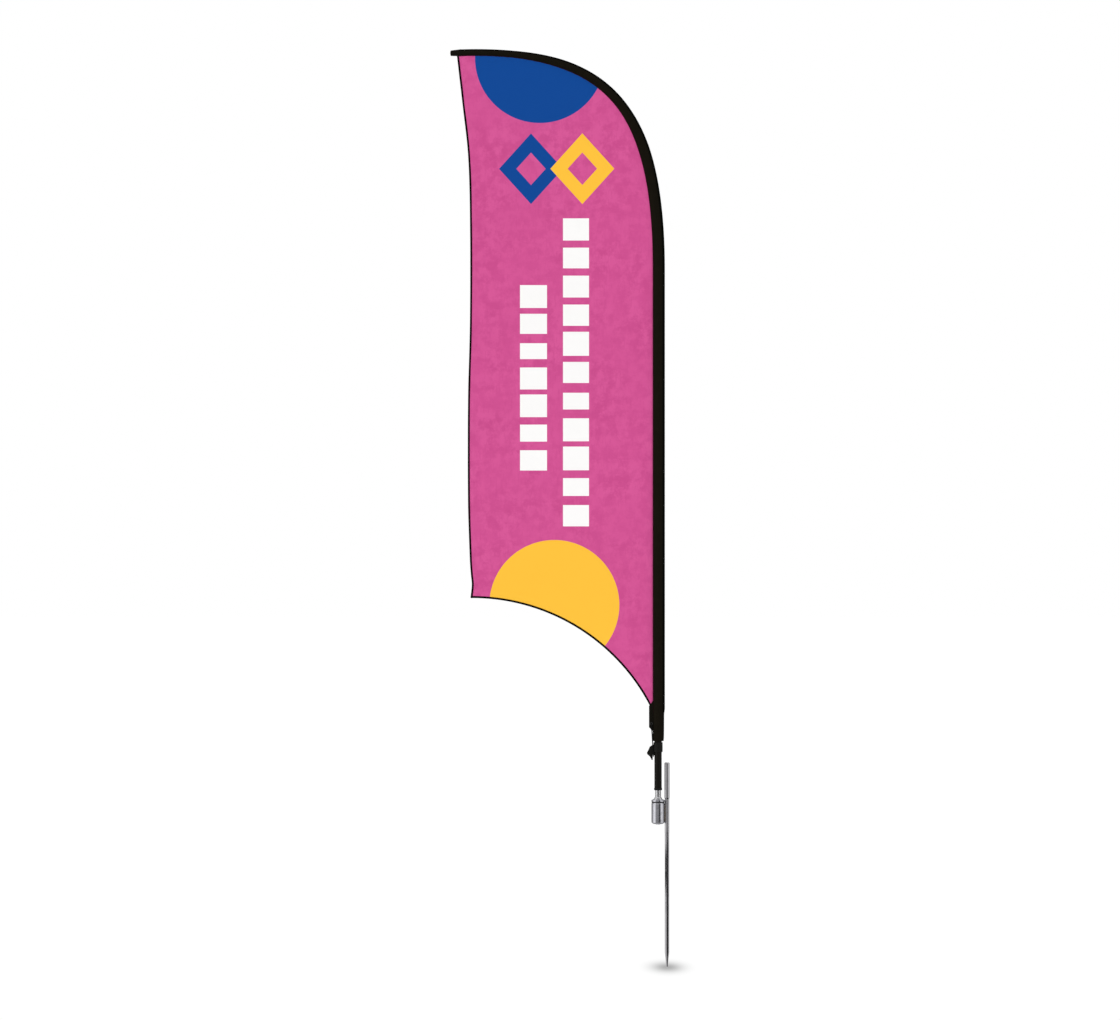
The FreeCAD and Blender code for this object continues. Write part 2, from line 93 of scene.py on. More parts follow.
# The flag's cut: its fly edge from foot to head, and its arched bottom edge as (x, z, radius)
FLY_EDGE = (
    (-0.5915, 0.680),
    (-0.5888, 0.710),
    (-0.5856, 0.746),
    (-0.5884, 0.776),
    (-0.5914, 0.820),
    (-0.5970, 1.000),
    (-0.5970, 1.300),
    (-0.5910, 1.540),
    (-0.5910, 1.840),
    (-0.5970, 2.034),
    (-0.6150, 2.199),
    (-0.6300, 2.330),
    (-0.6340, 2.370),
)
FLY_FOOT_Z = 0.7047
FLY_HEAD_Z = 2.3310
BOTTOM_ARC = (-0.5855, 0.1071, 0.5979)
PANEL_TOE_X = -0.0440
CLOTH_COLUMNS = 90
CLOTH_ROWS = 300
CLOTH_THICKNESS = 0.35 * MM
SEAM_TUCK = 3.0 * MM
Y_LIMIT = 14 * MM

# The bound edges and the thread that holds everything
HEM_WIDTH = 6.0 * MM
HEM_HALF = 0.85 * MM
THREAD = 0.32 * MM
STITCH = 2.8 * MM
STITCH_PITCH = 3.6 * MM

# The sleeve over the pole
SLEEVE_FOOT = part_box("flag_sleeve")[0].z
STEP_Z = 0.372
CREASE = 0.65 * MM
SLEEVE_RING = 40
SLEEVE_PITCH = 4.5 * MM
SLEEVE_CLOTH = 0.4 * MM

# The webbing tab, whose slant is the heights of its four corners, and the loop that pulls on it
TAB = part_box("tension_tab")
TAB_HALF = 1.3 * MM
TAB_SIZE = (13 * MM, 70 * MM)
TAB_SLANT = (0.317, 0.304, 0.399, 0.381)
TAB_UNDER_SLEEVE = 1.2 * MM
TAB_COLUMNS = 18
TAB_ROWS = 64
TAB_BOX = ((0.16, 0.46), (0.84, 0.46), (0.84, 0.90), (0.16, 0.90))
TAB_BAR = ((0.12, 0.40), (0.88, 0.40))
SELVEDGE = 0.9 * MM
FOLD = 1.2 * MM
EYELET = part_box("tab_eyelet")
EYELET_HOLE = 3.2 * MM
EYELET_CENTRE = (EYELET[0] + EYELET[1]) / 2
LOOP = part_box("elastic_loop")
LOOP_HALF = 6.5 * MM
LOOP_RINGS = 260
LOOP_SIDES = 20
LOOP_PITCH = 0.8 * MM
CORD_R = 1.5 * MM
BRAID_THREADS = 5
BRAID_TURNS = 40
BRAID_RISE = 0.07

# The two weld fillets, each a row of overlapping pools
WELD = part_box("housing_weld_beads")
WELD_CENTRE = (-6.3 * MM, 4.2 * MM)
WELD_RADIUS = 2.45 * MM
WELD_POOL = 2.3 * MM
WELD_PITCH = 0.35 * MM
WELD_SIDES = 22
WELD_TAPER = 1.8 * MM


def srgb(red, green, blue):
    """A colour as Blender wants it, from its 0 to 255 screen values."""
    linear = []
    for value in (red, green, blue):
        value /= 255
        linear.append(value / 12.92 if value <= 0.04045 else ((value + 0.055) / 1.055) ** 2.4)
    return (*linear, 1.0)


def shade(colour, factor, lift=0.0):
    """The colour made darker or paler by a factor, and lifted."""
    return tuple(value * factor + lift for value in colour[:3]) + (1.0,)


# ---- materials


class Nodes:
    """A node tree, with short ways to add and join what the materials and the sky need."""

    def __init__(self, tree):
        self.tree = tree

    def node(self, kind, inputs=None, **settings):
        """Add a node. inputs gives a link or a constant for each socket, by its name or number."""
        made = self.tree.nodes.new(kind)
        for key, value in settings.items():
            setattr(made, key, value)
        for key, value in (inputs or {}).items():
            self.feed(made.inputs[key], value)
        return made

    def feed(self, target, value):
        """Give a socket a link if the value is a socket, or a constant."""
        if isinstance(value, bpy.types.NodeSocket):
            self.tree.links.new(value, target)
        elif value is not None:
            target.default_value = value

    def math(self, operation, *values):
        return self.node("ShaderNodeMath", dict(enumerate(values)), operation=operation).outputs[0]

    def spread(self, value, low, high, to_low=0.0, to_high=1.0):
        """The value mapped smoothly from one range to another, and held at its ends."""
        inputs = dict(enumerate((value, low, high, to_low, to_high)))
        return self.node("ShaderNodeMapRange", inputs, interpolation_type="SMOOTHSTEP").outputs[0]

    def mix(self, share, a, b):
        return self.node("ShaderNodeMix", {0: share, 6: a, 7: b}, data_type="RGBA").outputs[2]

    def stain(self, base, other, value, low, high, most=1.0):
        """The base colour, taken towards the other one as the value goes from low to high."""
        return self.mix(self.spread(value, low, high, 0.0, most), base, other)

    def split(self, place):
        return self.node("ShaderNodeSeparateXYZ", {0: place}).outputs


class Paint(Nodes):
    """A material, with the patterns and sockets that the ones below use."""

    def __init__(self, name, colour, roughness, metallic=0.0, gloss=0.5):
        self.material = bpy.data.materials.new(name)
        self.material.use_nodes = True
        super().__init__(self.material.node_tree)
        self.surface = self.tree.nodes["Principled BSDF"]
        self.set("Base Color", colour)
        self.set("Roughness", roughness)
        self.set("Metallic", metallic)
        self.set("Specular IOR Level", gloss)
        self.height = None

    def set(self, socket, value):
        self.surface.inputs[socket].default_value = value

    def place(self, kind="Object", stretch=(1, 1, 1)):
        """Object or UV coordinates in metres, stretched along each axis."""
        inputs = {0: self.node("ShaderNodeTexCoord").outputs[kind], 1: stretch}
        return self.node("ShaderNodeVectorMath", inputs, operation="MULTIPLY").outputs[0]

    def noise(self, scale, detail=3.0, roughness=0.55, kind="Object", stretch=(1, 1, 1)):
        place = self.place(kind, stretch)
        inputs = {"Vector": place, "Scale": scale, "Detail": detail, "Roughness": roughness}
        return self.node("ShaderNodeTexNoise", inputs).outputs[0]

    def colour(self, value):
        self.feed(self.surface.inputs["Base Color"], value)

    def roughness(self, value):
        self.feed(self.surface.inputs["Roughness"], value)

    def rough_by(self, value, least, most):
        """A roughness that follows a noise."""
        self.roughness(self.spread(value, 0.3, 0.7, least, most))

    def relief(self, value, depth):
        """A bump of that depth in metres, on top of the ones before it."""
        inputs = {"Strength": 1.0, "Distance": depth, "Height": value, "Normal": self.height}
        self.height = self.node("ShaderNodeBump", inputs).outputs[0]
        self.feed(self.surface.inputs["Normal"], self.height)

    def weave(self, place, pitch):
        """A plain weave's height: threads that pass over and under each other."""
        x, y, z = self.split(place)
        turn = math.pi / pitch
        along = self.math("SINE", self.math("MULTIPLY", x, turn))
        over = self.math("SINE", self.math("MULTIPLY", y, turn))
        up = self.math("SINE", self.math("MULTIPLY", z, turn))
        return self.math("MULTIPLY", along, self.math("ADD", over, up))


def drawn_steel(name, colour, roughness, streak=1.0):
    """Bright bar with fine lengthwise draw lines, smudges and small knocks."""
    paint = Paint(name, colour, roughness, metallic=1.0)
    lines = paint.noise(2600, 2.0, stretch=(1, 1, 0.01))
    smudge = paint.noise(38, 4.0, 0.6)
    knocks = paint.noise(420, 2.0, stretch=(1, 1, 0.35))
    rough = paint.math("MULTIPLY_ADD", lines, 0.12 * streak, roughness - 0.10)
    paint.roughness(paint.math("ADD", rough, paint.spread(smudge, 0.45, 0.7, 0.0, 0.07)))
    paint.colour(paint.stain(colour, shade(colour, 0.72), smudge, 0.35, 0.75, 0.40))
    paint.relief(lines, 0.02 * MM * streak)
    paint.relief(paint.spread(knocks, 0.68, 0.80), 0.03 * MM)
    return paint.material


def turned_steel(name, colour, roughness):
    """Polished steel with fine rings from the lathe, fingerprints and hairline scratches."""
    paint = Paint(name, colour, roughness, metallic=1.0)
    rings = paint.noise(2400, 2.0, stretch=(0.01, 0.01, 1))
    prints = paint.noise(95, 4.0, 0.65)
    scratches = paint.noise(700, 1.0, stretch=(1, 1, 0.06))
    rough = paint.math("MULTIPLY_ADD", rings, 0.08, roughness - 0.04)
    paint.roughness(paint.math("ADD", rough, paint.spread(prints, 0.50, 0.68, 0.0, 0.14)))
    paint.colour(paint.stain(colour, shade(colour, 0.80), prints, 0.40, 0.75, 0.5))
    paint.relief(rings, 0.010 * MM)
    paint.relief(paint.spread(scratches, 0.70, 0.78), 0.012 * MM)
    return paint.material


WELD_GREY = (0.37, 0.36, 0.37, 1)
WELD_STRAW = (0.30, 0.24, 0.17, 1)
WELD_BLUE = (0.16, 0.19, 0.30, 1)


def weld_metal(name):
    """Weld with a heat tint, from straw to blue, and a rough skin."""
    paint = Paint(name, WELD_GREY, 0.42, metallic=1.0)
    tint = paint.noise(130, 3.0)
    straw = paint.stain(WELD_GREY, WELD_STRAW, tint, 0.35, 0.55)
    paint.colour(paint.stain(straw, WELD_BLUE, tint, 0.56, 0.70, 0.7))
    paint.rough_by(paint.noise(600), 0.3, 0.58)
    paint.relief(paint.noise(900), 0.12 * MM)
    return paint.material


def coated_tube(name, colour, roughness):
    """Powder-coated tube: a fine orange peel, dust, and rub marks that run lengthwise."""
    paint = Paint(name, colour, roughness, gloss=0.14)
    rubs = paint.noise(300, 3.0, 0.6, stretch=(1, 1, 0.04))
    dust = paint.noise(24, 4.0)
    paint.colour(paint.stain(colour, shade(colour, 2.6, 0.004), rubs, 0.56, 0.74, 0.6))
    rough = paint.math("MULTIPLY_ADD", dust, 0.20, roughness - 0.10)
    paint.roughness(paint.math("SUBTRACT", rough, paint.spread(rubs, 0.56, 0.74, 0.0, 0.14)))
    paint.relief(paint.noise(1500, 2.0), 0.03 * MM)
    paint.relief(rubs, 0.02 * MM)
    return paint.material


RESIN = (0.009, 0.009, 0.010, 1)
FIBRE = (0.030, 0.030, 0.030, 1)


def fibre_rod(name):
    """Pultruded fibreglass: glossy, with its fibres running lengthwise."""
    paint = Paint(name, RESIN, 0.32)
    fibres = paint.noise(3000, 2.0, stretch=(1, 1, 0.02))
    paint.colour(paint.stain(RESIN, FIBRE, fibres, 0.4, 0.7))
    paint.rough_by(fibres, 0.26, 0.44)
    paint.relief(fibres, 0.02 * MM)
    return paint.material


MOULDING = (0.0048, 0.0046, 0.0036, 1)
MOULDING_SCUFF = (0.020, 0.020, 0.019, 1)


def moulded(name):
    """Glass-filled nylon with a fine spark-eroded skin and paler scuffs."""
    paint = Paint(name, MOULDING, 0.52, gloss=0.16)
    scuffs = paint.noise(160, 4.0, 0.62)
    flow = paint.noise(30, 2.0, stretch=(1, 1, 0.4))
    paint.colour(paint.stain(MOULDING, MOULDING_SCUFF, scuffs, 0.58, 0.75, 0.5))
    paint.rough_by(flow, 0.44, 0.62)
    paint.relief(paint.noise(1900, 2.0), 0.05 * MM)
    paint.relief(paint.spread(scuffs, 0.6, 0.8), 0.03 * MM)
    return paint.material


RUBBER = (0.012, 0.012, 0.013, 1)
RUBBER_BLOOM = (0.05, 0.05, 0.05, 1)


def rubber(name):
    """Moulded seal rubber with a dusty bloom."""
    paint = Paint(name, RUBBER, 0.62)
    bloom = paint.noise(210, 4.0, 0.6)
    paint.colour(paint.stain(RUBBER, RUBBER_BLOOM, bloom, 0.5, 0.75, 0.6))
    paint.rough_by(bloom, 0.5, 0.75)
    paint.relief(paint.noise(1400, 2.0), 0.04 * MM)
    return paint.material


LACQUER = (0.014, 0.014, 0.014, 1)
DULL_BRASS = (0.19, 0.16, 0.11, 1)


def painted_ring(name):
    """Black lacquer on brass, rubbed through in spots."""
    paint = Paint(name, LACQUER, 0.34)
    rub = paint.noise(520, 4.0, 0.6)
    worn = paint.spread(rub, 0.62, 0.70)
    paint.colour(paint.mix(worn, LACQUER, DULL_BRASS))
    paint.feed(paint.surface.inputs["Metallic"], worn)
    paint.roughness(paint.spread(rub, 0.4, 0.7, 0.28, 0.5))
    paint.relief(rub, 0.03 * MM)
    return paint.material


LINT = srgb(52, 48, 42)


def woven(name, colour, pitch, depth, edges=None):
    """Dark woven cloth: threads, lint and slight fading. edges: the colours of a sleeve's painted shade on
    its flat outer strip and of its painted seam shadow beside the panel.
    """
    paint = Paint(name, colour, 0.9, gloss=CLOTH_GLOSS)
    threads = paint.weave(paint.place("UV"), pitch)
    fade = paint.noise(40, 4.0, 0.6, kind="UV")
    base = paint.stain(colour, shade(colour, 1.5), fade, 0.38, 0.72, 0.55)
    if edges:
        # Painted shade on the flat outer strip, and a dark red painted seam shadow beside the panel
        shade_zone = paint.node("ShaderNodeAttribute", attribute_name=PAINTED_SHADE_ZONE).outputs["Fac"]
        base = paint.stain(base, edges[0], shade_zone, 0.3, 0.9)
        base = paint.stain(base, edges[1], shade_zone, -0.3, -0.9)
    lint = paint.noise(900, 2.0, kind="UV")
    paint.colour(paint.stain(base, LINT, lint, 0.64, 0.80, 0.35))
    paint.rough_by(fade, 0.84, 0.96)
    paint.relief(threads, depth)
    paint.relief(lint, depth * 0.6)
    return paint.material


def ribbed(name, colour, pitch, depth):
    """Webbing, tape or braid: raised ribs across its length and a slanting thread in each, with painted
    light: the rib crests are painted paler than the hollows between them.
    """
    paint = Paint(name, colour, 0.88, gloss=CLOTH_GLOSS)
    u, v, _ = paint.split(paint.place("UV"))
    turn = math.pi / pitch
    across = paint.math("MULTIPLY", u, turn)
    along = paint.math("MULTIPLY", v, turn * 0.8)
    slant = paint.math("SINE", paint.math("ADD", across, along))
    counter = paint.math("SINE", paint.math("SUBTRACT", across, along))
    ribs = paint.math("MAXIMUM", slant, counter)
    fuzz = paint.noise(1100, 3.0, kind="UV")
    # Painted light and shade: the colour follows the relief, paler on the rib crests and darker in the
    # hollows
    base = paint.stain(colour, shade(colour, 2.2), ribs, 0.0, 1.0, 0.5)
    paint.colour(paint.stain(base, LINT, fuzz, 0.58, 0.8, 0.35))
    paint.relief(ribs, depth)
    paint.relief(fuzz, depth * 0.3)
    return paint.material


# What is printed on the panel: a disc is (x, z, radius), a ladder is (left, right, low, high, blocks)
PINK = srgb(211, 85, 148)
PINK_DEEP = srgb(201, 77, 139)
PINK_PALE = srgb(217, 92, 154)
BLUE = srgb(19, 73, 150)
YELLOW = srgb(255, 196, 64)
WHITE = srgb(252, 251, 250)
BLUE_DISC = (-0.381, 2.325, 0.195)
YELLOW_DISC = (-0.338, 0.684, 0.195)
DIAMOND_Z = 1.993
DIAMOND_HALF = (0.096, 0.106)
DIAMOND_X = (-0.408, -0.254)
DIAMOND_HOLE = 0.46
LADDERS = ((-0.312, -0.234, 0.909, 1.854, 11), (-0.441, -0.360, 1.077, 1.650, 7))
PRINT_EDGE = 0.5 * MM

# Half a block's length as a share of its ladder's pitch: the least, and the most that chance adds
BLOCK_LEAST = 0.29
BLOCK_SPREAD = 0.14


def printed_cloth(name):
    """Knitted polyester, dyed with a mottled ground, discs, diamonds and ladders of blocks."""
    paint = Paint(name, PINK, 0.82, gloss=CLOTH_GLOSS)
    place = paint.place()
    x, _, z = paint.split(place)

    def inside(value, limit):
        """1 where the value is under the limit, with an edge as soft as a dyed one."""
        return paint.spread(value, limit - PRINT_EDGE, limit + PRINT_EDGE, 1.0, 0.0)

    def away(value, centre):
        return paint.math("ABSOLUTE", paint.math("SUBTRACT", value, centre))

    def disc(centre_x, centre_z, radius):
        across = paint.math("POWER", away(x, centre_x), 2.0)
        up = paint.math("POWER", away(z, centre_z), 2.0)
        return inside(paint.math("SQRT", paint.math("ADD", across, up)), radius)

    def diamond(centre_x):
        """A diamond with a smaller one left open in it."""
        width, height = DIAMOND_HALF
        up = paint.math("MULTIPLY", away(z, DIAMOND_Z), width / height)
        reach = paint.math("ADD", away(x, centre_x), up)
        return paint.math("SUBTRACT", inside(reach, width), inside(reach, width * DIAMOND_HOLE))

    def ladder(left, right, low, high, count):
        """A column of blocks, each of a length of its own."""
        pitch = (high - low) / count
        steps = paint.math("DIVIDE", paint.math("SUBTRACT", z, low), pitch)
        number = paint.math("FLOOR", steps)
        random = paint.node("ShaderNodeTexWhiteNoise", {"W": number}, noise_dimensions="1D")
        half = paint.math("MULTIPLY_ADD", random.outputs["Value"], pitch * BLOCK_SPREAD, pitch * BLOCK_LEAST)
        from_middle = paint.math("MULTIPLY", away(paint.math("FRACT", steps), 0.5), pitch)
        block = inside(paint.math("SUBTRACT", from_middle, half), 0.0)
        column = inside(away(x, (left + right) / 2), (right - left) / 2)
        rows = inside(away(z, (low + high) / 2), (high - low) / 2)
        return paint.math("MULTIPLY", paint.math("MULTIPLY", block, column), rows)

    blotches = paint.noise(26, 5.0, 0.66)
    clouds = paint.noise(8, 3.0, 0.6)
    upright = paint.noise(190, 3.0, 0.6, stretch=(1, 1, 0.16))
    level = paint.noise(190, 3.0, 0.6, stretch=(0.16, 1, 1))
    ground = paint.stain(PINK_DEEP, PINK_PALE, blotches, 0.38, 0.62)
    ground = paint.mix(paint.spread(clouds, 0.35, 0.65, 0.15, 0.70), ground, PINK)
    ground = paint.stain(ground, PINK_DEEP, upright, 0.54, 0.68, 0.35)
    ground = paint.stain(ground, PINK_PALE, level, 0.56, 0.70, 0.25)
    shown = paint.mix(disc(*BLUE_DISC), ground, BLUE)
    shown = paint.mix(disc(*YELLOW_DISC), shown, YELLOW)
    shown = paint.mix(diamond(DIAMOND_X[0]), shown, BLUE)
    shown = paint.mix(diamond(DIAMOND_X[1]), shown, YELLOW)
    for column in LADDERS:
        shown = paint.mix(ladder(*column), shown, WHITE)

    # the dye is a little paler on the back of the cloth
    facing = paint.split(paint.node("ShaderNodeTexCoord").outputs["Normal"])[1]
    paint.colour(paint.stain(shown, WHITE, facing, 0.0, 0.4, 0.04))
    paint.rough_by(blotches, 0.78, 0.88)
    paint.relief(paint.weave(place, 0.5 * MM), 0.03 * MM)
    paint.relief(paint.noise(320, 3.0), 0.08 * MM)
    return paint.material


STEEL = (0.60, 0.60, 0.62, 1)
# Painted shade colours: the sleeve's flat outer strip painted darker as shade, and a dark red painted seam
# shadow where the panel goes in
SLEEVE_PAINTED_SHADES = (srgb(5, 5, 3), srgb(38, 10, 17))

# Every material slot, with what makes its material and from which values
FINISHES = (
    ("spike_steel", drawn_steel, (0.50, 0.49, 0.51, 1), 0.17),
    ("housing_steel", turned_steel, (0.56, 0.56, 0.60, 1), 0.17),
    ("spindle_steel", drawn_steel, (0.66, 0.66, 0.67, 1), 0.42, 0.6),
    ("weld", weld_metal),
    ("spacer_steel", turned_steel, STEEL, 0.34),
    ("bearing_steel", turned_steel, STEEL, 0.14),
    ("cage_steel", turned_steel, (0.50, 0.50, 0.50, 1), 0.38),
    ("seal_rubber", rubber),
    ("pole_black", coated_tube, (0.0042, 0.0036, 0.0024, 1), 0.55),
    ("pole_fibre", fibre_rod),
    ("ferrule_metal", coated_tube, (0.007, 0.007, 0.007, 1), 0.42),
    ("moulded_black", moulded),
    ("sleeve_fabric", woven, srgb(20, 17, 11), 0.9 * MM, 0.10 * MM, SLEEVE_PAINTED_SHADES),
    ("webbing", ribbed, srgb(17, 15, 11), 1.5 * MM, 0.25 * MM),
    ("panel_fabric", printed_cloth),
    ("hem_fabric", woven, srgb(5, 4, 4), 0.7 * MM, 0.08 * MM),
    ("elastic_cord", ribbed, srgb(18, 18, 18), 0.9 * MM, 0.16 * MM),
    ("eyelet_metal", painted_ring),
    ("thread", ribbed, srgb(30, 27, 23), 0.5 * MM, 0.05 * MM),
)
MATERIALS = {name: make(name, *values) for name, make, *values in FINISHES}


# ---- mesh helpers


def put(name, data):
    """A new object in the scene."""
    made = bpy.data.objects.new(name, data)
    bpy.context.scene.collection.objects.link(made)
    return made


def make_piece(name, points, faces, slot, uvs=None, material=None):
    """A smooth mesh piece with its record slot's finish. uvs holds one pair per point."""
    mesh = bpy.data.meshes.new(name)
    mesh.from_pydata([tuple(p) for p in points], [], faces)
    mesh.validate()
    mesh.polygons.foreach_set("use_smooth", [True] * len(mesh.polygons))
    if uvs:
        layer = mesh.uv_layers.new(name="Length")
        for loop in mesh.loops:
            layer.data[loop.index].uv = uvs[loop.vertex_index]
    mesh.materials.append(MATERIALS[material or slot])
    piece = put(name, mesh)
    return piece


def grid_faces(rows, columns, closed=False):
    """Quads between rows of points, and round each row if it is closed."""
    faces = []
    for r in range(rows - 1):
        for c in range(columns if closed else columns - 1):
            d = (c + 1) % columns
            faces.append((r * columns + c, r * columns + d, (r + 1) * columns + d, (r + 1) * columns + c))
    return faces


def tube_faces(rings, columns, first=0):
    """The skin and both ends of a tube whose points begin at number first."""
    faces = [tuple(first + n for n in face) for face in grid_faces(rings, columns, closed=True)]
    last = first + (rings - 1) * columns
    faces.append(tuple(first + k for k in reversed(range(columns))))
    faces.append(tuple(last + k for k in range(columns)))
    return faces


def circle(sides):
    """Evenly spaced angles round a circle."""
    return [2 * math.pi * k / sides for k in range(sides)]


def swept(name, rings, slot, pitch, caps=True):
    """A tube through rings of points. Its UV map runs round each ring and along the tube, in metres."""
    columns = len(rings[0])
    points = [p for ring in rings for p in ring]
    faces = tube_faces(len(rings), columns) if caps else grid_faces(len(rings), columns, closed=True)
    around = lengths_along(rings[len(rings) // 2])
    uvs = [(around[c], r * pitch) for r in range(len(rings)) for c in range(columns)]
    return make_piece(name, points, faces, slot, uvs)


def bake_modifiers(piece):
    """Replace a piece's mesh by what its modifiers make of it."""
    bpy.context.view_layer.update()
    evaluated = piece.evaluated_get(bpy.context.evaluated_depsgraph_get())
    mesh = bpy.data.meshes.new_from_object(evaluated)
    piece.modifiers.clear()
    piece.data = mesh


def thicken(piece, thickness, offset):
    solidify = piece.modifiers.new("cloth", "SOLIDIFY")
    solidify.thickness = thickness
    solidify.offset = offset
    bake_modifiers(piece)


def lengths_along(points):
    """The length of a line of points up to each of them."""
    lengths = [0.0]
    for a, b in zip(points, points[1:]):
        lengths.append(lengths[-1] + (b - a).length)
    return lengths


def span_of(places, value, first=0, spare=2):
    """The number of the span between places that a value lies in, kept off the ends by first and spare."""
    return min(max(bisect.bisect_right(places, value) - 1, first), len(places) - spare)


def ramp(table, value):
    """A value read off a short table of (place, millimetres) pairs, with straight lines between."""
    i = span_of([row[0] for row in table], value)
    (low, a), (high, b) = table[i], table[i + 1]
    share = min(max((value - low) / (high - low), 0), 1)
    return (a + (b - a) * share) * MM


def smooth(value, low, high):
    share = min(max((value - low) / (high - low), 0), 1)
    return share * share * (3 - 2 * share)


# A stitch from end to end: (share of its length, height and girth in thread radii)
STITCH_LINE = ((-0.5, -0.4, 0.35), (-0.28, 0.55, 1.0), (0.0, 0.85, 1.0), (0.28, 0.55, 1.0), (0.5, -0.4, 0.35))
STITCH_SIDES = 5


def stitches(name, seams, slot):
    """Thread along seams. Each seam is a list of (point, normal) pairs, with one stitch between each two."""
    points, faces, uvs = [], [], []
    for (point, normal), (following, _) in [pair for seam in seams for pair in zip(seam, seam[1:])]:
        along = (following - point).normalized()
        middle = (point + following) / 2
        side = along.cross(normal).normalized()
        faces += tube_faces(len(STITCH_LINE), STITCH_SIDES, len(points))
        for step, lift, girth in STITCH_LINE:
            centre = middle + along * (step * STITCH) + normal * (lift * THREAD)
            for angle in circle(STITCH_SIDES):
                out = side * math.cos(angle) + normal * math.sin(angle)
                points.append(centre + out * (THREAD * girth))
                uvs.append((THREAD * angle, step * STITCH))
    piece = make_piece(name, points, faces, slot, uvs, "thread")
    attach(piece, "pole")


# ---- the pole's axis


BEND_START = Vector((POLE_X, 0, BEND_Z))
BEND_RISE = BEND_START + Vector((0, 0, BEND_HANDLE))
AXIS = [Vector((POLE_X, 0, 0))]
AXIS += interpolate_bezier(BEND_START, BEND_RISE, BEND_SHOULDER, BEND_END, BEND_STEPS)
DISTANCES = lengths_along(AXIS)
BEND_LENGTH = DISTANCES[-1] - BEND_Z
SLEEVE_END = BEND_Z + BEND_LENGTH * SLEEVE_END_SHARE
PATCH_START = BEND_Z + BEND_LENGTH * PATCH_START_SHARE
SLOPE_STEP = 6 * MM


def axis_point(distance):
    """The point of the pole's axis at a distance along it from the ground line."""
    i = span_of(DISTANCES, distance)
    share = (distance - DISTANCES[i]) / (DISTANCES[i + 1] - DISTANCES[i])
    return AXIS[i].lerp(AXIS[i + 1], share)


def axis_frame(distance):
    """A point on the axis, its direction, and the direction that points away from the flag."""
    along = (axis_point(distance + SLOPE_STEP) - axis_point(distance - SLOPE_STEP)).normalized()
    return axis_point(distance), along, Vector((along.z, 0, -along.x))


# ---- sleeve

TIP = SLEEVE_END - 0.030
STEP_FOOT = STEP_Z - 0.015
WIDE_TOP = 1.780

# The sleeve's reach round the bend: (distance along the axis, towards the flag, away from it), millimetres
BEND_WIDTHS = (
    (WIDE_TOP, 15.2, 20.1),
    (2.060, 14.6, 18.9),
    (2.180, 12.9, 16.6),
    (2.420, 11.6, 14.6),
    (2.570, 9.0, 11.4),
    (TIP, 8.6, 11.0),
    (SLEEVE_END, 6.6, 8.3),
)

# The sleeve's section all along: (distance along the axis, millimetres)
INNER = ((SLEEVE_FOOT, 15.8), (0.300, 16.0), (0.330, 15.2), *((s, inner) for s, inner, _ in BEND_WIDTHS))
OUTER = (
    (SLEEVE_FOOT, 16.2),
    (0.286, 17.3),
    (0.300, 17.6),
    (STEP_FOOT, 18.0),
    (STEP_Z, 20.1),
    *((s, outer) for s, _, outer in BEND_WIDTHS),
)
STRIP = ((SLEEVE_FOOT, 2.6), (STEP_FOOT, 4.6), (STEP_Z, 7.1), (WIDE_TOP, 7.1), (TIP, 4.0), (SLEEVE_END, 3.1))
DEPTH = ((SLEEVE_FOOT, 12.6), (1.000, 12.9), (1.090, 10.6), (1.640, 10.2), (1.750, 7.6), (SLEEVE_END, 4.6))
FLANGE = 2.4 * MM
# How much painted shade each point of a half ring carries, from the outer crease in: the strip's painted
# shade, then the painted seam shadow at the inner crease
STRIP_PAINTED_SHADE = [1.0, 1.0, 1.0, 0.4]
SEAM_PAINTED_SHADOW = [-0.5, -1.0, -1.0]
PUCKER_PITCH = 15 * MM
GATHER_PITCH = 19 * MM


def wander(x, y, z=0.0):
    """Smooth noise from -1 to 1, the same on every run."""
    return noise.noise(Vector((x, y, z)))


def sleeve_half(distance, grown=0.0):
    """Half of the sleeve's section, from its outer crease to its inner one, as (outwards, depth) pairs."""
    inner = ramp(INNER, distance) + grown
    outer = ramp(OUTER, distance) + grown
    strip = ramp(STRIP, distance)
    depth = ramp(DEPTH, distance) + grown
    crease = CREASE + grown
    low = FLANGE - inner
    high = outer - strip
    middle = (low + high) / 2
    half = (high - low) / 2
    count = SLEEVE_RING // 2 - 4
    pairs = [(outer, crease * 0.6), (outer - 0.8 * MM, crease)]
    for i in range(count):
        angle = math.pi * i / (count - 1)
        pairs.append((middle + half * math.cos(angle), crease + (depth - crease) * math.sin(angle) ** 0.85))
    pairs += [(0.8 * MM - inner, crease), (-inner, crease * 0.6)]
    return pairs


def sleeve_wrinkle(distance, out, depth, side):
    """How far the sleeve's cloth stands from its plain section: seam puckers and gathers round the bend."""
    inner = ramp(INNER, distance)
    from_seam = out + inner
    full = smooth(depth, 1.0 * MM, 5.0 * MM)
    shift = wander(distance * 9, side * 3.1) * 2.4
    pucker = math.sin(2 * math.pi * distance / PUCKER_PITCH + shift) * math.exp(-from_seam / (6 * MM))
    bend = smooth(distance, BEND_Z + 0.04, BEND_Z + 0.34)
    gather = math.sin(2 * math.pi * distance / GATHER_PITCH + 2.6 * wander(distance * 14, side * 7.7))
    gather *= math.exp(-from_seam / (11 * MM)) * bend
    slack = wander(distance * 16, out * 60, side * 5.0)
    foot = 1 - smooth(distance, SLEEVE_FOOT, SLEEVE_FOOT + 0.05)
    drawn_in = wander(distance * 8, out * 240, side * 9.0) * foot
    return full * (0.45 * pucker + 0.75 * gather + 0.8 * slack + 0.7 * drawn_in) * MM


def sleeve_ring(distance, grown=0.0, shrink=1.0):
    """One closed ring of the sleeve, with its wrinkles."""
    centre, _, outward = axis_frame(distance)
    half = sleeve_half(distance, grown)
    ring = []
    for side, pairs in ((-1, half), (1, reversed(half))):
        for out, depth in pairs:
            deep = depth + sleeve_wrinkle(distance, out, depth, side)
            ring.append(centre + outward * (out * shrink) + ACROSS * (side * deep * shrink))
    return ring


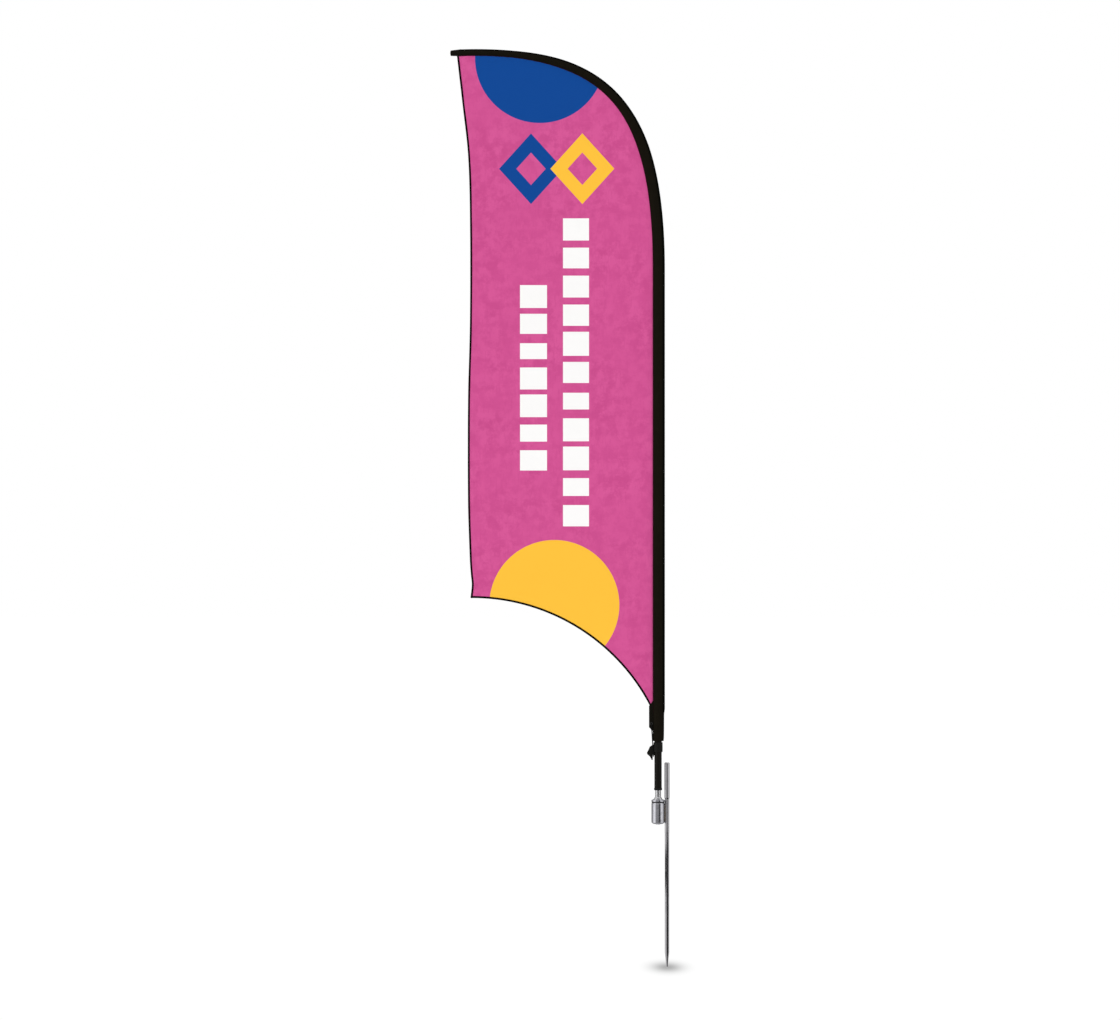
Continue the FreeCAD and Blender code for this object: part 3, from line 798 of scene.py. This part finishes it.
def build_sleeve():
    count = round((SLEEVE_END - SLEEVE_FOOT) / SLEEVE_PITCH)
    places = [SLEEVE_FOOT + (SLEEVE_END - SLEEVE_FOOT) * i / count for i in range(count + 1)]
    rings = [sleeve_ring(place) for place in places]
    sleeve = swept("flag_sleeve_cloth", rings, "sleeve_fabric", SLEEVE_PITCH, caps=False)
    # Where the painted shade goes: on the outer strip all along, and the painted seam shadow only where the
    # panel is sewn in
    shade_zones = sleeve.data.attributes.new(PAINTED_SHADE_ZONE, "FLOAT", "POINT")
    middle = [0.0] * (SLEEVE_RING // 2 - len(STRIP_PAINTED_SHADE) - len(SEAM_PAINTED_SHADOW))
    values = []
    for place in places:
        half = STRIP_PAINTED_SHADE + middle + (SEAM_PAINTED_SHADOW if place > SEAM_FOOT else [0.0] * len(SEAM_PAINTED_SHADOW))
        values += half + half[::-1]
    shade_zones.data.foreach_set("value", values)
    thicken(sleeve, SLEEVE_CLOTH, -1)
    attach(sleeve, "pole")
    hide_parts("flag_sleeve")
    return sleeve


def along_sleeve(low, high, offset, lift=0.0):
    """Seam points on both faces of the sleeve, offset(distance) away from the axis."""
    count = int((high - low) / STITCH_PITCH)
    for side in (-1, 1):
        seam = []
        for i in range(count):
            distance = low + STITCH_PITCH * i
            centre, _, outward = axis_frame(distance)
            point = centre + outward * offset(distance) + ACROSS * (side * (CREASE + lift))
            seam.append((point, ACROSS * side))
        yield seam


def sleeve_stitching():
    """One row along the seam with the panel, and one beside the flat outer strip."""

    def beside_panel(distance):
        return 1.3 * MM - ramp(INNER, distance)

    def beside_strip(distance):
        return ramp(OUTER, distance) - ramp(STRIP, distance) + 1.2 * MM

    seams = []
    for row in (beside_panel, beside_strip):
        seams += along_sleeve(SLEEVE_FOOT + 6 * MM, PATCH_START, row)
    stitches("sleeve_stitches", seams, "sleeve_fabric")


def build_end_patch():
    """A cap of webbing, folded over the sleeve's end and closed across it."""
    grown = 0.7 * MM
    reach = 5 * MM
    steps = 12
    rings = []
    for i in range(steps + 1):
        distance = PATCH_START + (SLEEVE_END - PATCH_START) * i / steps
        rings.append(sleeve_ring(distance, grown))
    for i in range(1, steps + 1):
        angle = math.pi / 2 * i / (steps + 1)
        rings.append(sleeve_ring(SLEEVE_END + reach * math.sin(angle) / 2, grown, math.cos(angle)))
    patch = swept("sleeve_end_webbing", rings, "webbing", 3 * MM)
    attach(patch, "pole")
    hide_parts("sleeve_end_patch")
    low = PATCH_START + 2 * MM
    seams = list(along_sleeve(low, SLEEVE_END, lambda s: ramp(OUTER, s) - 1.6 * MM, grown))
    seams += along_sleeve(low, SLEEVE_END, lambda s: 1.2 * MM - ramp(INNER, s), grown)
    stitches("end_patch_stitches", seams, "webbing")


# ---- the panel's flat shape


def fly_x(height):
    """The fly edge's X at a height, on a smooth line through its points."""
    i = span_of([z for _, z in FLY_EDGE], height, first=1, spare=3)
    (x0, z0), (x1, z1), (x2, z2), (x3, z3) = FLY_EDGE[i - 1 : i + 3]
    span = z2 - z1
    share = (height - z1) / span
    leave = (x2 - x0) / (z2 - z0) * span
    arrive = (x3 - x1) / (z3 - z1) * span
    rise = x2 - x1
    curve = (leave + arrive - 2 * rise) * share**3 + (3 * rise - 2 * leave - arrive) * share**2
    return x1 + curve + leave * share


def bottom_z(x):
    centre_x, centre_z, radius = BOTTOM_ARC
    return centre_z + math.sqrt(radius**2 - (x - centre_x) ** 2)


def seam_point(distance):
    centre, _, outward = axis_frame(distance)
    return centre - outward * (ramp(INNER, distance) - SEAM_TUCK)


def seam_head():
    """The distance along the axis where the seam meets the fly edge."""
    distance = SLEEVE_END
    while seam_point(distance).x < fly_x(FLY_HEAD_Z):
        distance -= MM
    return distance


FOOT_FLY = Vector((fly_x(FLY_FOOT_Z), 0, FLY_FOOT_Z))
FOOT_SEAM = Vector((PANEL_TOE_X, 0, bottom_z(PANEL_TOE_X)))
SEAM_FOOT = FOOT_SEAM.z
SEAM_HEAD = seam_head()


def flat_point(u, v):
    """The flat cloth: u runs from the fly edge to the sleeve, v from the bottom edge to the head."""
    fly_z = FLY_FOOT_Z + (FLY_HEAD_Z - FLY_FOOT_Z) * v
    fly = Vector((fly_x(fly_z), 0, fly_z))
    seam = seam_point(SEAM_FOOT + (SEAM_HEAD - SEAM_FOOT) * v)
    seam.x = min(seam.x, PANEL_TOE_X + SEAM_TUCK)
    x = FOOT_FLY.x + (FOOT_SEAM.x - FOOT_FLY.x) * u
    sag = Vector((x, 0, bottom_z(x))) - FOOT_FLY.lerp(FOOT_SEAM, u)
    return fly.lerp(seam, u) + sag * (1 - v)


# ---- how the cloth hangs


LONG_FOLD = 0.83
SHORT_FOLD = 0.31
SEAM_WAVE = 27 * MM
EDGE_WAVE = 0.145


def gentle_folds(u, v, x, z):
    """Soft folds that run from the head and the foot, where the cloth is held tightest, to the free edge."""
    free = 1 - u
    lean = z + 0.55 * x
    long_fold = math.sin(2 * math.pi * lean / LONG_FOLD + 0.9) * smooth(free, 0.0, 0.7)
    short_fold = math.sin(2 * math.pi * (z - 0.30 * x) / SHORT_FOLD + 2.2 * wander(z * 1.7, x * 1.3))
    short_fold *= smooth(free, 0.1, 0.9) * 0.45
    drift = wander(x * 2.6, z * 2.0, 4.0)
    held = smooth(v, 0.0, 0.10) * (1 - 0.85 * smooth(v, 0.88, 1.0))
    return (5.0 * long_fold + 3.2 * short_fold + 4.5 * drift * smooth(free, 0.0, 0.35)) * MM * held


def seam_puckers(u, v, width):
    """Small waves where the stretched sleeve gathers the cloth."""
    from_seam = (1 - u) * width
    place = v * (SEAM_HEAD - SEAM_FOOT)
    wave = math.sin(2 * math.pi * place / SEAM_WAVE + 2.5 * wander(place * 11, 1.5))
    return 0.7 * MM * wave * math.exp(-from_seam / (24 * MM)) * (1 - math.exp(-from_seam / (3 * MM)))


def edge_curl(u, v, width):
    """The bound fly edge is a little tight, so the cloth beside it waves."""
    from_edge = u * width
    place = v * (FLY_HEAD_Z - FLY_FOOT_Z)
    wave = math.sin(2 * math.pi * place / EDGE_WAVE + 3.0 * wander(place * 3.5, 8.5))
    held = smooth(v, 0.0, 0.06) * (1 - smooth(v, 0.94, 1.0))
    return 1.6 * MM * wave * math.exp(-from_edge / (45 * MM)) * held


def cloth_heights():
    """How far the cloth stands off its flat plane at each point of its grid."""
    heights = []
    for r in range(CLOTH_ROWS + 1):
        v = r / CLOTH_ROWS
        width = (flat_point(1, v) - flat_point(0, v)).length
        row = []
        for c in range(CLOTH_COLUMNS + 1):
            u = c / CLOTH_COLUMNS
            flat = flat_point(u, v)
            height = gentle_folds(u, v, flat.x, flat.z)
            height += seam_puckers(u, v, width) + edge_curl(u, v, width)
            row.append(min(max(height, -Y_LIMIT), Y_LIMIT))
        heights.append(row)
    return heights


HEIGHTS = cloth_heights()


def cloth_point(u, v):
    """A point on the hanging cloth."""
    across = min(max(u, 0), 1) * CLOTH_COLUMNS
    up = min(max(v, 0), 1) * CLOTH_ROWS
    c = min(int(across), CLOTH_COLUMNS - 1)
    r = min(int(up), CLOTH_ROWS - 1)
    low = HEIGHTS[r][c] + (HEIGHTS[r][c + 1] - HEIGHTS[r][c]) * (across - c)
    high = HEIGHTS[r + 1][c] + (HEIGHTS[r + 1][c + 1] - HEIGHTS[r + 1][c]) * (across - c)
    point = flat_point(u, v)
    point.y = low + (high - low) * (up - r)
    return point


def build_panel():
    points = []
    for r in range(CLOTH_ROWS + 1):
        for c in range(CLOTH_COLUMNS + 1):
            points.append(cloth_point(c / CLOTH_COLUMNS, r / CLOTH_ROWS))
    faces = grid_faces(CLOTH_ROWS + 1, CLOTH_COLUMNS + 1)
    panel = make_piece("flag_panel_cloth", points, faces, "panel_fabric")
    thicken(panel, CLOTH_THICKNESS, 0)
    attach(panel, "pole")
    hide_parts("flag_panel")
    return panel


def edge_path(where, start, stop, pitch):
    """Evenly spaced points along an edge of the cloth, with the edge's direction at each."""
    fine = 400
    track = [where(start + (stop - start) * i / fine) for i in range(fine + 1)]
    run = lengths_along(track)
    count = round(run[-1] / pitch)
    path = []
    for i in range(count + 1):
        target = run[-1] * i / count
        k = span_of(run, target)
        share = (target - run[k]) / (run[k + 1] - run[k])
        along = (track[min(k + 2, fine)] - track[max(k - 1, 0)]).normalized()
        path.append((track[k].lerp(track[k + 1], share), along))
    return path


def edge_frame(along, inward_sign):
    """The direction into the cloth from its edge, and the cloth's normal there."""
    inward = along.cross(ACROSS).normalized() * inward_sign
    return inward, along.cross(inward).normalized()


# Half of the folded tape's section: (share of its width, share of its half thickness)
HEM_SECTION = ((0.00, 0.0), (0.05, 0.62), (0.22, 0.92), (0.60, 1.0), (0.93, 0.92), (1.0, 0.55))


def build_hem(name, node, where, inward_sign, extra):
    """A tape folded over an edge of the cloth, with one row of stitches near its inner side."""
    section = list(HEM_SECTION) + [(reach, -rise) for reach, rise in reversed(HEM_SECTION[1:])]
    pitch = 3 * MM
    rings = []
    for i, (point, along) in enumerate(edge_path(where, 0, 1, pitch)):
        inward, normal = edge_frame(along, inward_sign)
        ease = 1 + 0.10 * wander(i * pitch * 30, extra * 900)
        ring = []
        for reach, rise in section:
            lift = rise * HEM_HALF * ease + math.copysign(extra, rise)
            ring.append(point + inward * (reach * HEM_WIDTH - extra) + normal * lift)
        rings.append(ring)
    hem = swept(name, rings, "hem_fabric", pitch)
    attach(hem, "pole")
    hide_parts(node)
    seams = []
    for side in (-1, 1):
        seam = []
        for point, along in edge_path(where, 0.002, 0.998, STITCH_PITCH):
            inward, normal = edge_frame(along, inward_sign)
            seam.append((point + inward * (HEM_WIDTH * 0.72) + normal * side * HEM_HALF, normal * side))
        seams.append(seam)
    stitches(name + "_stitches", seams, "hem_fabric")
    return hem


# ---- tab, loop and weld


def tab_point(across, up):
    """A point of the tab's flat outline, both shares from 0 to 1."""
    low_left, low_right, high_right, high_left = TAB_SLANT
    x = TAB[0].x + (TAB[1].x + TAB_UNDER_SLEEVE - TAB[0].x) * across
    low = low_left + (low_right - low_left) * across
    high = high_left + (high_right - high_left) * across
    return Vector((x, 0, low + (high - low) * up))


def tab_face_point(across, up, side):
    """A point on the tab's front or back, which is rounded off at its selvedges and its folded foot."""
    width, length = TAB_SIZE
    edge = min(across, 1 - across) * width
    foot = up * length
    round_off = min(math.sqrt(min(edge / SELVEDGE, 1)), math.sqrt(min(foot / FOLD, 1)))
    pillow = 1 + 0.10 * wander(across * 3, up * 8, side)
    point = tab_point(across, up)
    point.y = side * TAB_HALF * (0.25 + 0.75 * round_off) * pillow
    return point


def build_tab():
    """Folded webbing with rounded selvedges and a punched hole for the eyelet."""
    wide = TAB_COLUMNS + 1
    points, uvs = [], []
    for side in (-1, 1):
        for r in range(TAB_ROWS + 1):
            for c in range(wide):
                across = c / TAB_COLUMNS
                point = tab_face_point(across, r / TAB_ROWS, side)
                points.append(point)
                uvs.append((across * TAB_SIZE[0], point.z))
    size = (TAB_ROWS + 1) * wide
    front = grid_faces(TAB_ROWS + 1, wide)
    faces = front + [tuple(size + i for i in reversed(face)) for face in front]
    rim = list(range(wide))
    rim += [r * wide + TAB_COLUMNS for r in range(1, TAB_ROWS + 1)]
    rim += [TAB_ROWS * wide + c for c in reversed(range(TAB_COLUMNS))]
    rim += [r * wide for r in reversed(range(1, TAB_ROWS))]
    for a, b in zip(rim, rim[1:] + rim[:1]):
        faces.append((b, a, a + size, b + size))
    tab = make_piece("tension_tab_webbing", points, faces, "webbing", uvs)
    punch_hole(tab)
    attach(tab, "pole")
    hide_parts("tension_tab")
    tab_stitching()


def punch_hole(tab):
    """Cut the eyelet's hole through the tab."""
    sides = 32
    reach = 5 * MM
    points = []
    for y in (-reach, reach):
        for angle in circle(sides):
            out = Vector((EYELET_HOLE * math.cos(angle), y, EYELET_HOLE * math.sin(angle)))
            points.append(EYELET_CENTRE + out)
    punch = make_piece("punch", points, tube_faces(2, sides), "webbing")
    cut = tab.modifiers.new("hole", "BOOLEAN")
    cut.operation = "DIFFERENCE"
    cut.solver = "EXACT"
    cut.object = punch
    bake_modifiers(tab)
    bpy.data.objects.remove(punch)


def tab_stitching():
    """A box with a cross in it, and a bar above the eyelet, on both faces."""
    lines = [(TAB_BOX[i - 1], TAB_BOX[i]) for i in (1, 2, 3, 0)]
    lines += [(TAB_BOX[0], TAB_BOX[2]), (TAB_BOX[1], TAB_BOX[3]), TAB_BAR]
    seams = []
    for side in (-1, 1):
        for (a, b), (c, d) in lines:
            start = tab_point(a, b)
            stop = tab_point(c, d)
            start.y = stop.y = side * TAB_HALF
            count = max(2, round((stop - start).length / STITCH_PITCH))
            seams.append([(start.lerp(stop, i / count), ACROSS * side) for i in range(count + 1)])
    stitches("tension_tab_stitches", seams, "webbing")


def loop_track(share):
    """The closed line of the elastic loop: two strands and two half turns, leaning with the tab."""
    foot = Vector((LOOP[1].x - CORD_R, 0, LOOP[0].z + CORD_R))
    top = Vector((EYELET_CENTRE.x, 0, LOOP[1].z - CORD_R))
    up = (top - foot).normalized()
    strand = (top - foot).length - 2 * LOOP_HALF
    turn = math.pi * LOOP_HALF
    run = share * (2 * strand + 2 * turn)
    if run < strand:
        return foot + up * (LOOP_HALF + run) - ACROSS * LOOP_HALF
    run -= strand
    if run < turn:
        angle = run / LOOP_HALF
        centre = top - up * LOOP_HALF
        return centre + up * (LOOP_HALF * math.sin(angle)) - ACROSS * (LOOP_HALF * math.cos(angle))
    run -= turn
    if run < strand:
        return top - up * (LOOP_HALF + run) + ACROSS * LOOP_HALF
    angle = (run - strand) / LOOP_HALF
    centre = foot + up * LOOP_HALF
    return centre - up * (LOOP_HALF * math.sin(angle)) + ACROSS * (LOOP_HALF * math.cos(angle))


def build_loop():
    """Braided elastic cord. Its cover's crossing threads are in the mesh, as slight ridges."""
    step = 1 / LOOP_RINGS
    points, uvs = [], []
    for i in range(LOOP_RINGS):
        centre = loop_track(i * step)
        along = (loop_track((i + 0.5) * step % 1) - loop_track((i - 0.5) * step % 1)).normalized()
        side = Vector((1, 0, 0))
        side = (side - along * side.dot(along)).normalized()
        front = along.cross(side)
        twist = 2 * math.pi * i * BRAID_TURNS / LOOP_RINGS
        for angle in circle(LOOP_SIDES):
            strands = BRAID_THREADS * angle
            braid = max(math.sin(strands + twist), math.sin(strands - twist))
            radius = CORD_R * (1 - BRAID_RISE + BRAID_RISE * braid)
            points.append(centre + (side * math.cos(angle) + front * math.sin(angle)) * radius)
            uvs.append((CORD_R * angle, i * LOOP_PITCH))
    faces = grid_faces(LOOP_RINGS, LOOP_SIDES, closed=True)
    last = (LOOP_RINGS - 1) * LOOP_SIDES
    for k in range(LOOP_SIDES):
        n = (k + 1) % LOOP_SIDES
        faces.append((last + k, last + n, n, k))
    loop = make_piece("elastic_loop_cord", points, faces, "elastic_cord", uvs)
    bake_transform(loop)
    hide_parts("elastic_loop")


def build_weld():
    """Two fillets in the crevice between the neck and the housing."""
    count = round((WELD[1].z - WELD[0].z) / WELD_PITCH)
    points, faces = [], []
    for side in (-1, 1):
        faces += tube_faces(count + 1, WELD_SIDES, len(points))
        for i in range(count + 1):
            z = WELD[0].z + WELD_PITCH * i
            end = min(i, count - i) * WELD_PITCH
            swell = math.sqrt(min(end / WELD_TAPER + 0.02, 1))
            for angle in circle(WELD_SIDES):
                slump = 0.45 * WELD_POOL * math.sin(angle) ** 2
                phase = ((z + slump) / WELD_POOL) % 1
                ripple = 0.22 * MM * (1 - phase) + 0.12 * MM * wander(z * 300, angle, side)
                radius = (WELD_RADIUS + ripple) * swell
                x = WELD_CENTRE[0] + radius * math.cos(angle)
                y = side * WELD_CENTRE[1] + radius * math.sin(angle)
                points.append(Vector((x, y, z)))
    weld = make_piece("weld_fillets", points, faces, "weld")
    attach(weld, "ground_spike")
    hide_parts("housing_weld_beads")


# ---- the CAD pieces that stay


# How far the edges of the larger turned and moulded nodes are broken, in millimetres
BROKEN_EDGES = (("tension_hook", 0.7), ("housing_tube", 0.3), ("housing_cap", 0.3), ("pole_foot_rim", 0.3))
SHARP_ANGLE = 35


def dress_cad():
    """Give every CAD node its slot's material, and break the edges of those that show them."""
    for row in frame["record"]["subparts"]:
        node = frame["nodes"][row["node"]]
        node.data.materials.clear()
        node.data.materials.append(MATERIALS[row["material_slot"]])
    for name, width in BROKEN_EDGES:
        bevel = frame["nodes"][name].modifiers.new("edges", "BEVEL")
        bevel.width = width * MM
        bevel.segments = 2
        bevel.limit_method = "ANGLE"
        bevel.angle_limit = math.radians(SHARP_ANGLE)


# ---- studio

# The sky's brightness round the object, as bands: (share where it starts, share where it ends, value)
SKY_BANDS = (
    (0.00, 0.22, 0.34),
    (0.26, 0.35, 1.00),
    (0.39, 0.52, 0.30),
    (0.55, 0.60, 0.05),
    (0.63, 0.72, 0.85),
    (0.76, 0.76, 0.30),
    (1.00, 1.00, 0.34),
)
SKY_STRENGTH = 1.30
CEILING = (0.8, 0.8, 0.8, 1)
CEILING_HEIGHTS = (0.55, 0.80)
KEY_STRENGTH = 0.95
KEY_SPREAD = 20
KEY_TURN = (52, 0, -38)
CAMERA_PLACE = (-0.321, -9.333, 0.969)
CAMERA_LENS = 100
CAMERA_SENSOR = 36
CAMERA_FAR = 200
FLOOR_SIZE = 60
FLOOR_GLOW = 1.02
SHADOW_CENTRE = (0.0, -0.012)
SHADOW_REACH = (0.047, 0.105)
SHADOW_DEPTH = 0.58
CARD_REACH = 1.0
CARD_BLACK = (0.02, 0.02, 0.02, 1)
CARDS = (("narrow_card", (-13, 70), (-0.95, -0.115)), ("wide_card", (-150, -13), (-0.290, -0.160)))


def build_sky():
    """White to the eye. The object sees soft boxes with a dark gap between them, and a bright ceiling."""
    world = bpy.data.worlds.new("studio")
    bpy.context.scene.world = world
    world.use_nodes = True
    world.node_tree.nodes.clear()
    sky = Nodes(world.node_tree)
    x, y, z = sky.split(sky.node("ShaderNodeTexCoord").outputs["Generated"])
    turn = sky.math("ARCTAN2", x, sky.math("MULTIPLY", y, -1.0))
    bands = sky.node("ShaderNodeValToRGB", {0: sky.math("MULTIPLY_ADD", turn, 0.5 / math.pi, 0.5)})
    edges = [(place, value) for start, stop, value in SKY_BANDS for place in sorted({start, stop})]
    stops = bands.color_ramp.elements
    while len(stops) < len(edges):
        stops.new(1.0)
    for stop, (place, value) in zip(stops, edges):
        stop.position = place
        stop.color = (value, value, value, 1)
    colour = sky.stain(bands.outputs[0], CEILING, z, *CEILING_HEIGHTS)
    lit = sky.node("ShaderNodeBackground", {"Color": colour, "Strength": SKY_STRENGTH})
    seen = sky.node("ShaderNodeBackground", {"Color": (1, 1, 1, 1)})
    camera_ray = sky.node("ShaderNodeLightPath").outputs["Is Camera Ray"]
    choose = sky.node("ShaderNodeMixShader", {0: camera_ray, 1: lit.outputs[0], 2: seen.outputs[0]})
    sky.node("ShaderNodeOutputWorld", {"Surface": choose.outputs[0]})


def floor_material():
    """White and evenly lit, like paper on a light table, but for the soft shadow where the tip meets it."""
    paint = Paint("studio_floor", (0, 0, 0, 1), 1.0, gloss=0.0)
    x, y, _ = paint.split(paint.place())
    squares = []
    for value, centre, reach in zip((x, y), SHADOW_CENTRE, SHADOW_REACH):
        away = paint.math("DIVIDE", paint.math("SUBTRACT", value, centre), reach)
        squares.append(paint.math("POWER", paint.math("ABSOLUTE", away), 2.0))
    depth = paint.math("EXPONENT", paint.math("MULTIPLY", paint.math("ADD", *squares), -1.0))
    glow = paint.math("MULTIPLY_ADD", depth, -SHADOW_DEPTH * FLOOR_GLOW, FLOOR_GLOW)
    paint.set("Emission Color", (1, 1, 1, 1))
    paint.feed(paint.surface.inputs["Emission Strength"], glow)
    return paint.material


def stage_piece(name, points, faces, material):
    """A piece of the studio, which is no part of the object."""
    mesh = bpy.data.meshes.new(name)
    mesh.from_pydata(points, [], faces)
    mesh.materials.append(material)
    piece = put(name, mesh)
    return piece


def build_floor():
    """A plain floor, level with the spike's tip. Steel doesn't mirror it, so the soft boxes show there."""
    half = FLOOR_SIZE / 2
    low = CAD_BOX[0].z
    corners = [(-half, -half, low), (half, -half, low), (half, half, low), (-half, half, low)]
    floor = stage_piece("floor", corners, [(0, 1, 2, 3)], floor_material())
    floor.visible_glossy = False


def build_card(name, turn, heights):
    """A black card that only the steel sees: turn is its span of directions, 0 being towards the camera."""
    steps = 12
    points = []
    for i in range(steps + 1):
        angle = math.radians(turn[0] + (turn[1] - turn[0]) * i / steps)
        for z in heights:
            points.append((CARD_REACH * math.sin(angle), -CARD_REACH * math.cos(angle), z))
    card = stage_piece(name, points, grid_faces(steps + 1, 2), Paint(name, CARD_BLACK, 1.0).material)
    for unseen in ("camera", "diffuse", "shadow", "transmission", "volume_scatter"):
        setattr(card, "visible_" + unseen, False)


def build_lights():
    """One broad, weak key from high on the left, so that folds show."""
    key = bpy.data.lights.new("key", "SUN")
    key.energy = KEY_STRENGTH
    key.angle = math.radians(KEY_SPREAD)
    lamp = put("key", key)
    lamp.rotation_euler = [math.radians(angle) for angle in KEY_TURN]
    lamp.visible_glossy = False


def build_camera():
    """Level, in front of the object's middle, far enough back that its sides hardly converge."""
    data = bpy.data.cameras.new("camera")
    data.lens = CAMERA_LENS
    data.sensor_width = CAMERA_SENSOR
    data.clip_end = CAMERA_FAR
    camera = put("camera", data)
    camera.location = CAMERA_PLACE
    camera.rotation_euler = (math.radians(90), 0, 0)
    bpy.context.scene.camera = camera


# ---- build


def build():
    build_camera()
    build_sky()
    build_floor()
    build_lights()
    for card in CARDS:
        build_card(*card)
    bpy.context.scene.view_settings.view_transform = "Standard"
    dress_cad()

    panel = build_panel()
    fly = build_hem("fly_hem_binding", "fly_hem", lambda t: cloth_point(0, t), -1, 0.0)
    bottom = build_hem("bottom_hem_binding", "bottom_hem", lambda t: cloth_point(t, 0), 1, 0.12 * MM)
    sleeve = build_sleeve()
    sleeve_stitching()
    build_end_patch()
    build_tab()
    build_loop()
    build_weld()


build()
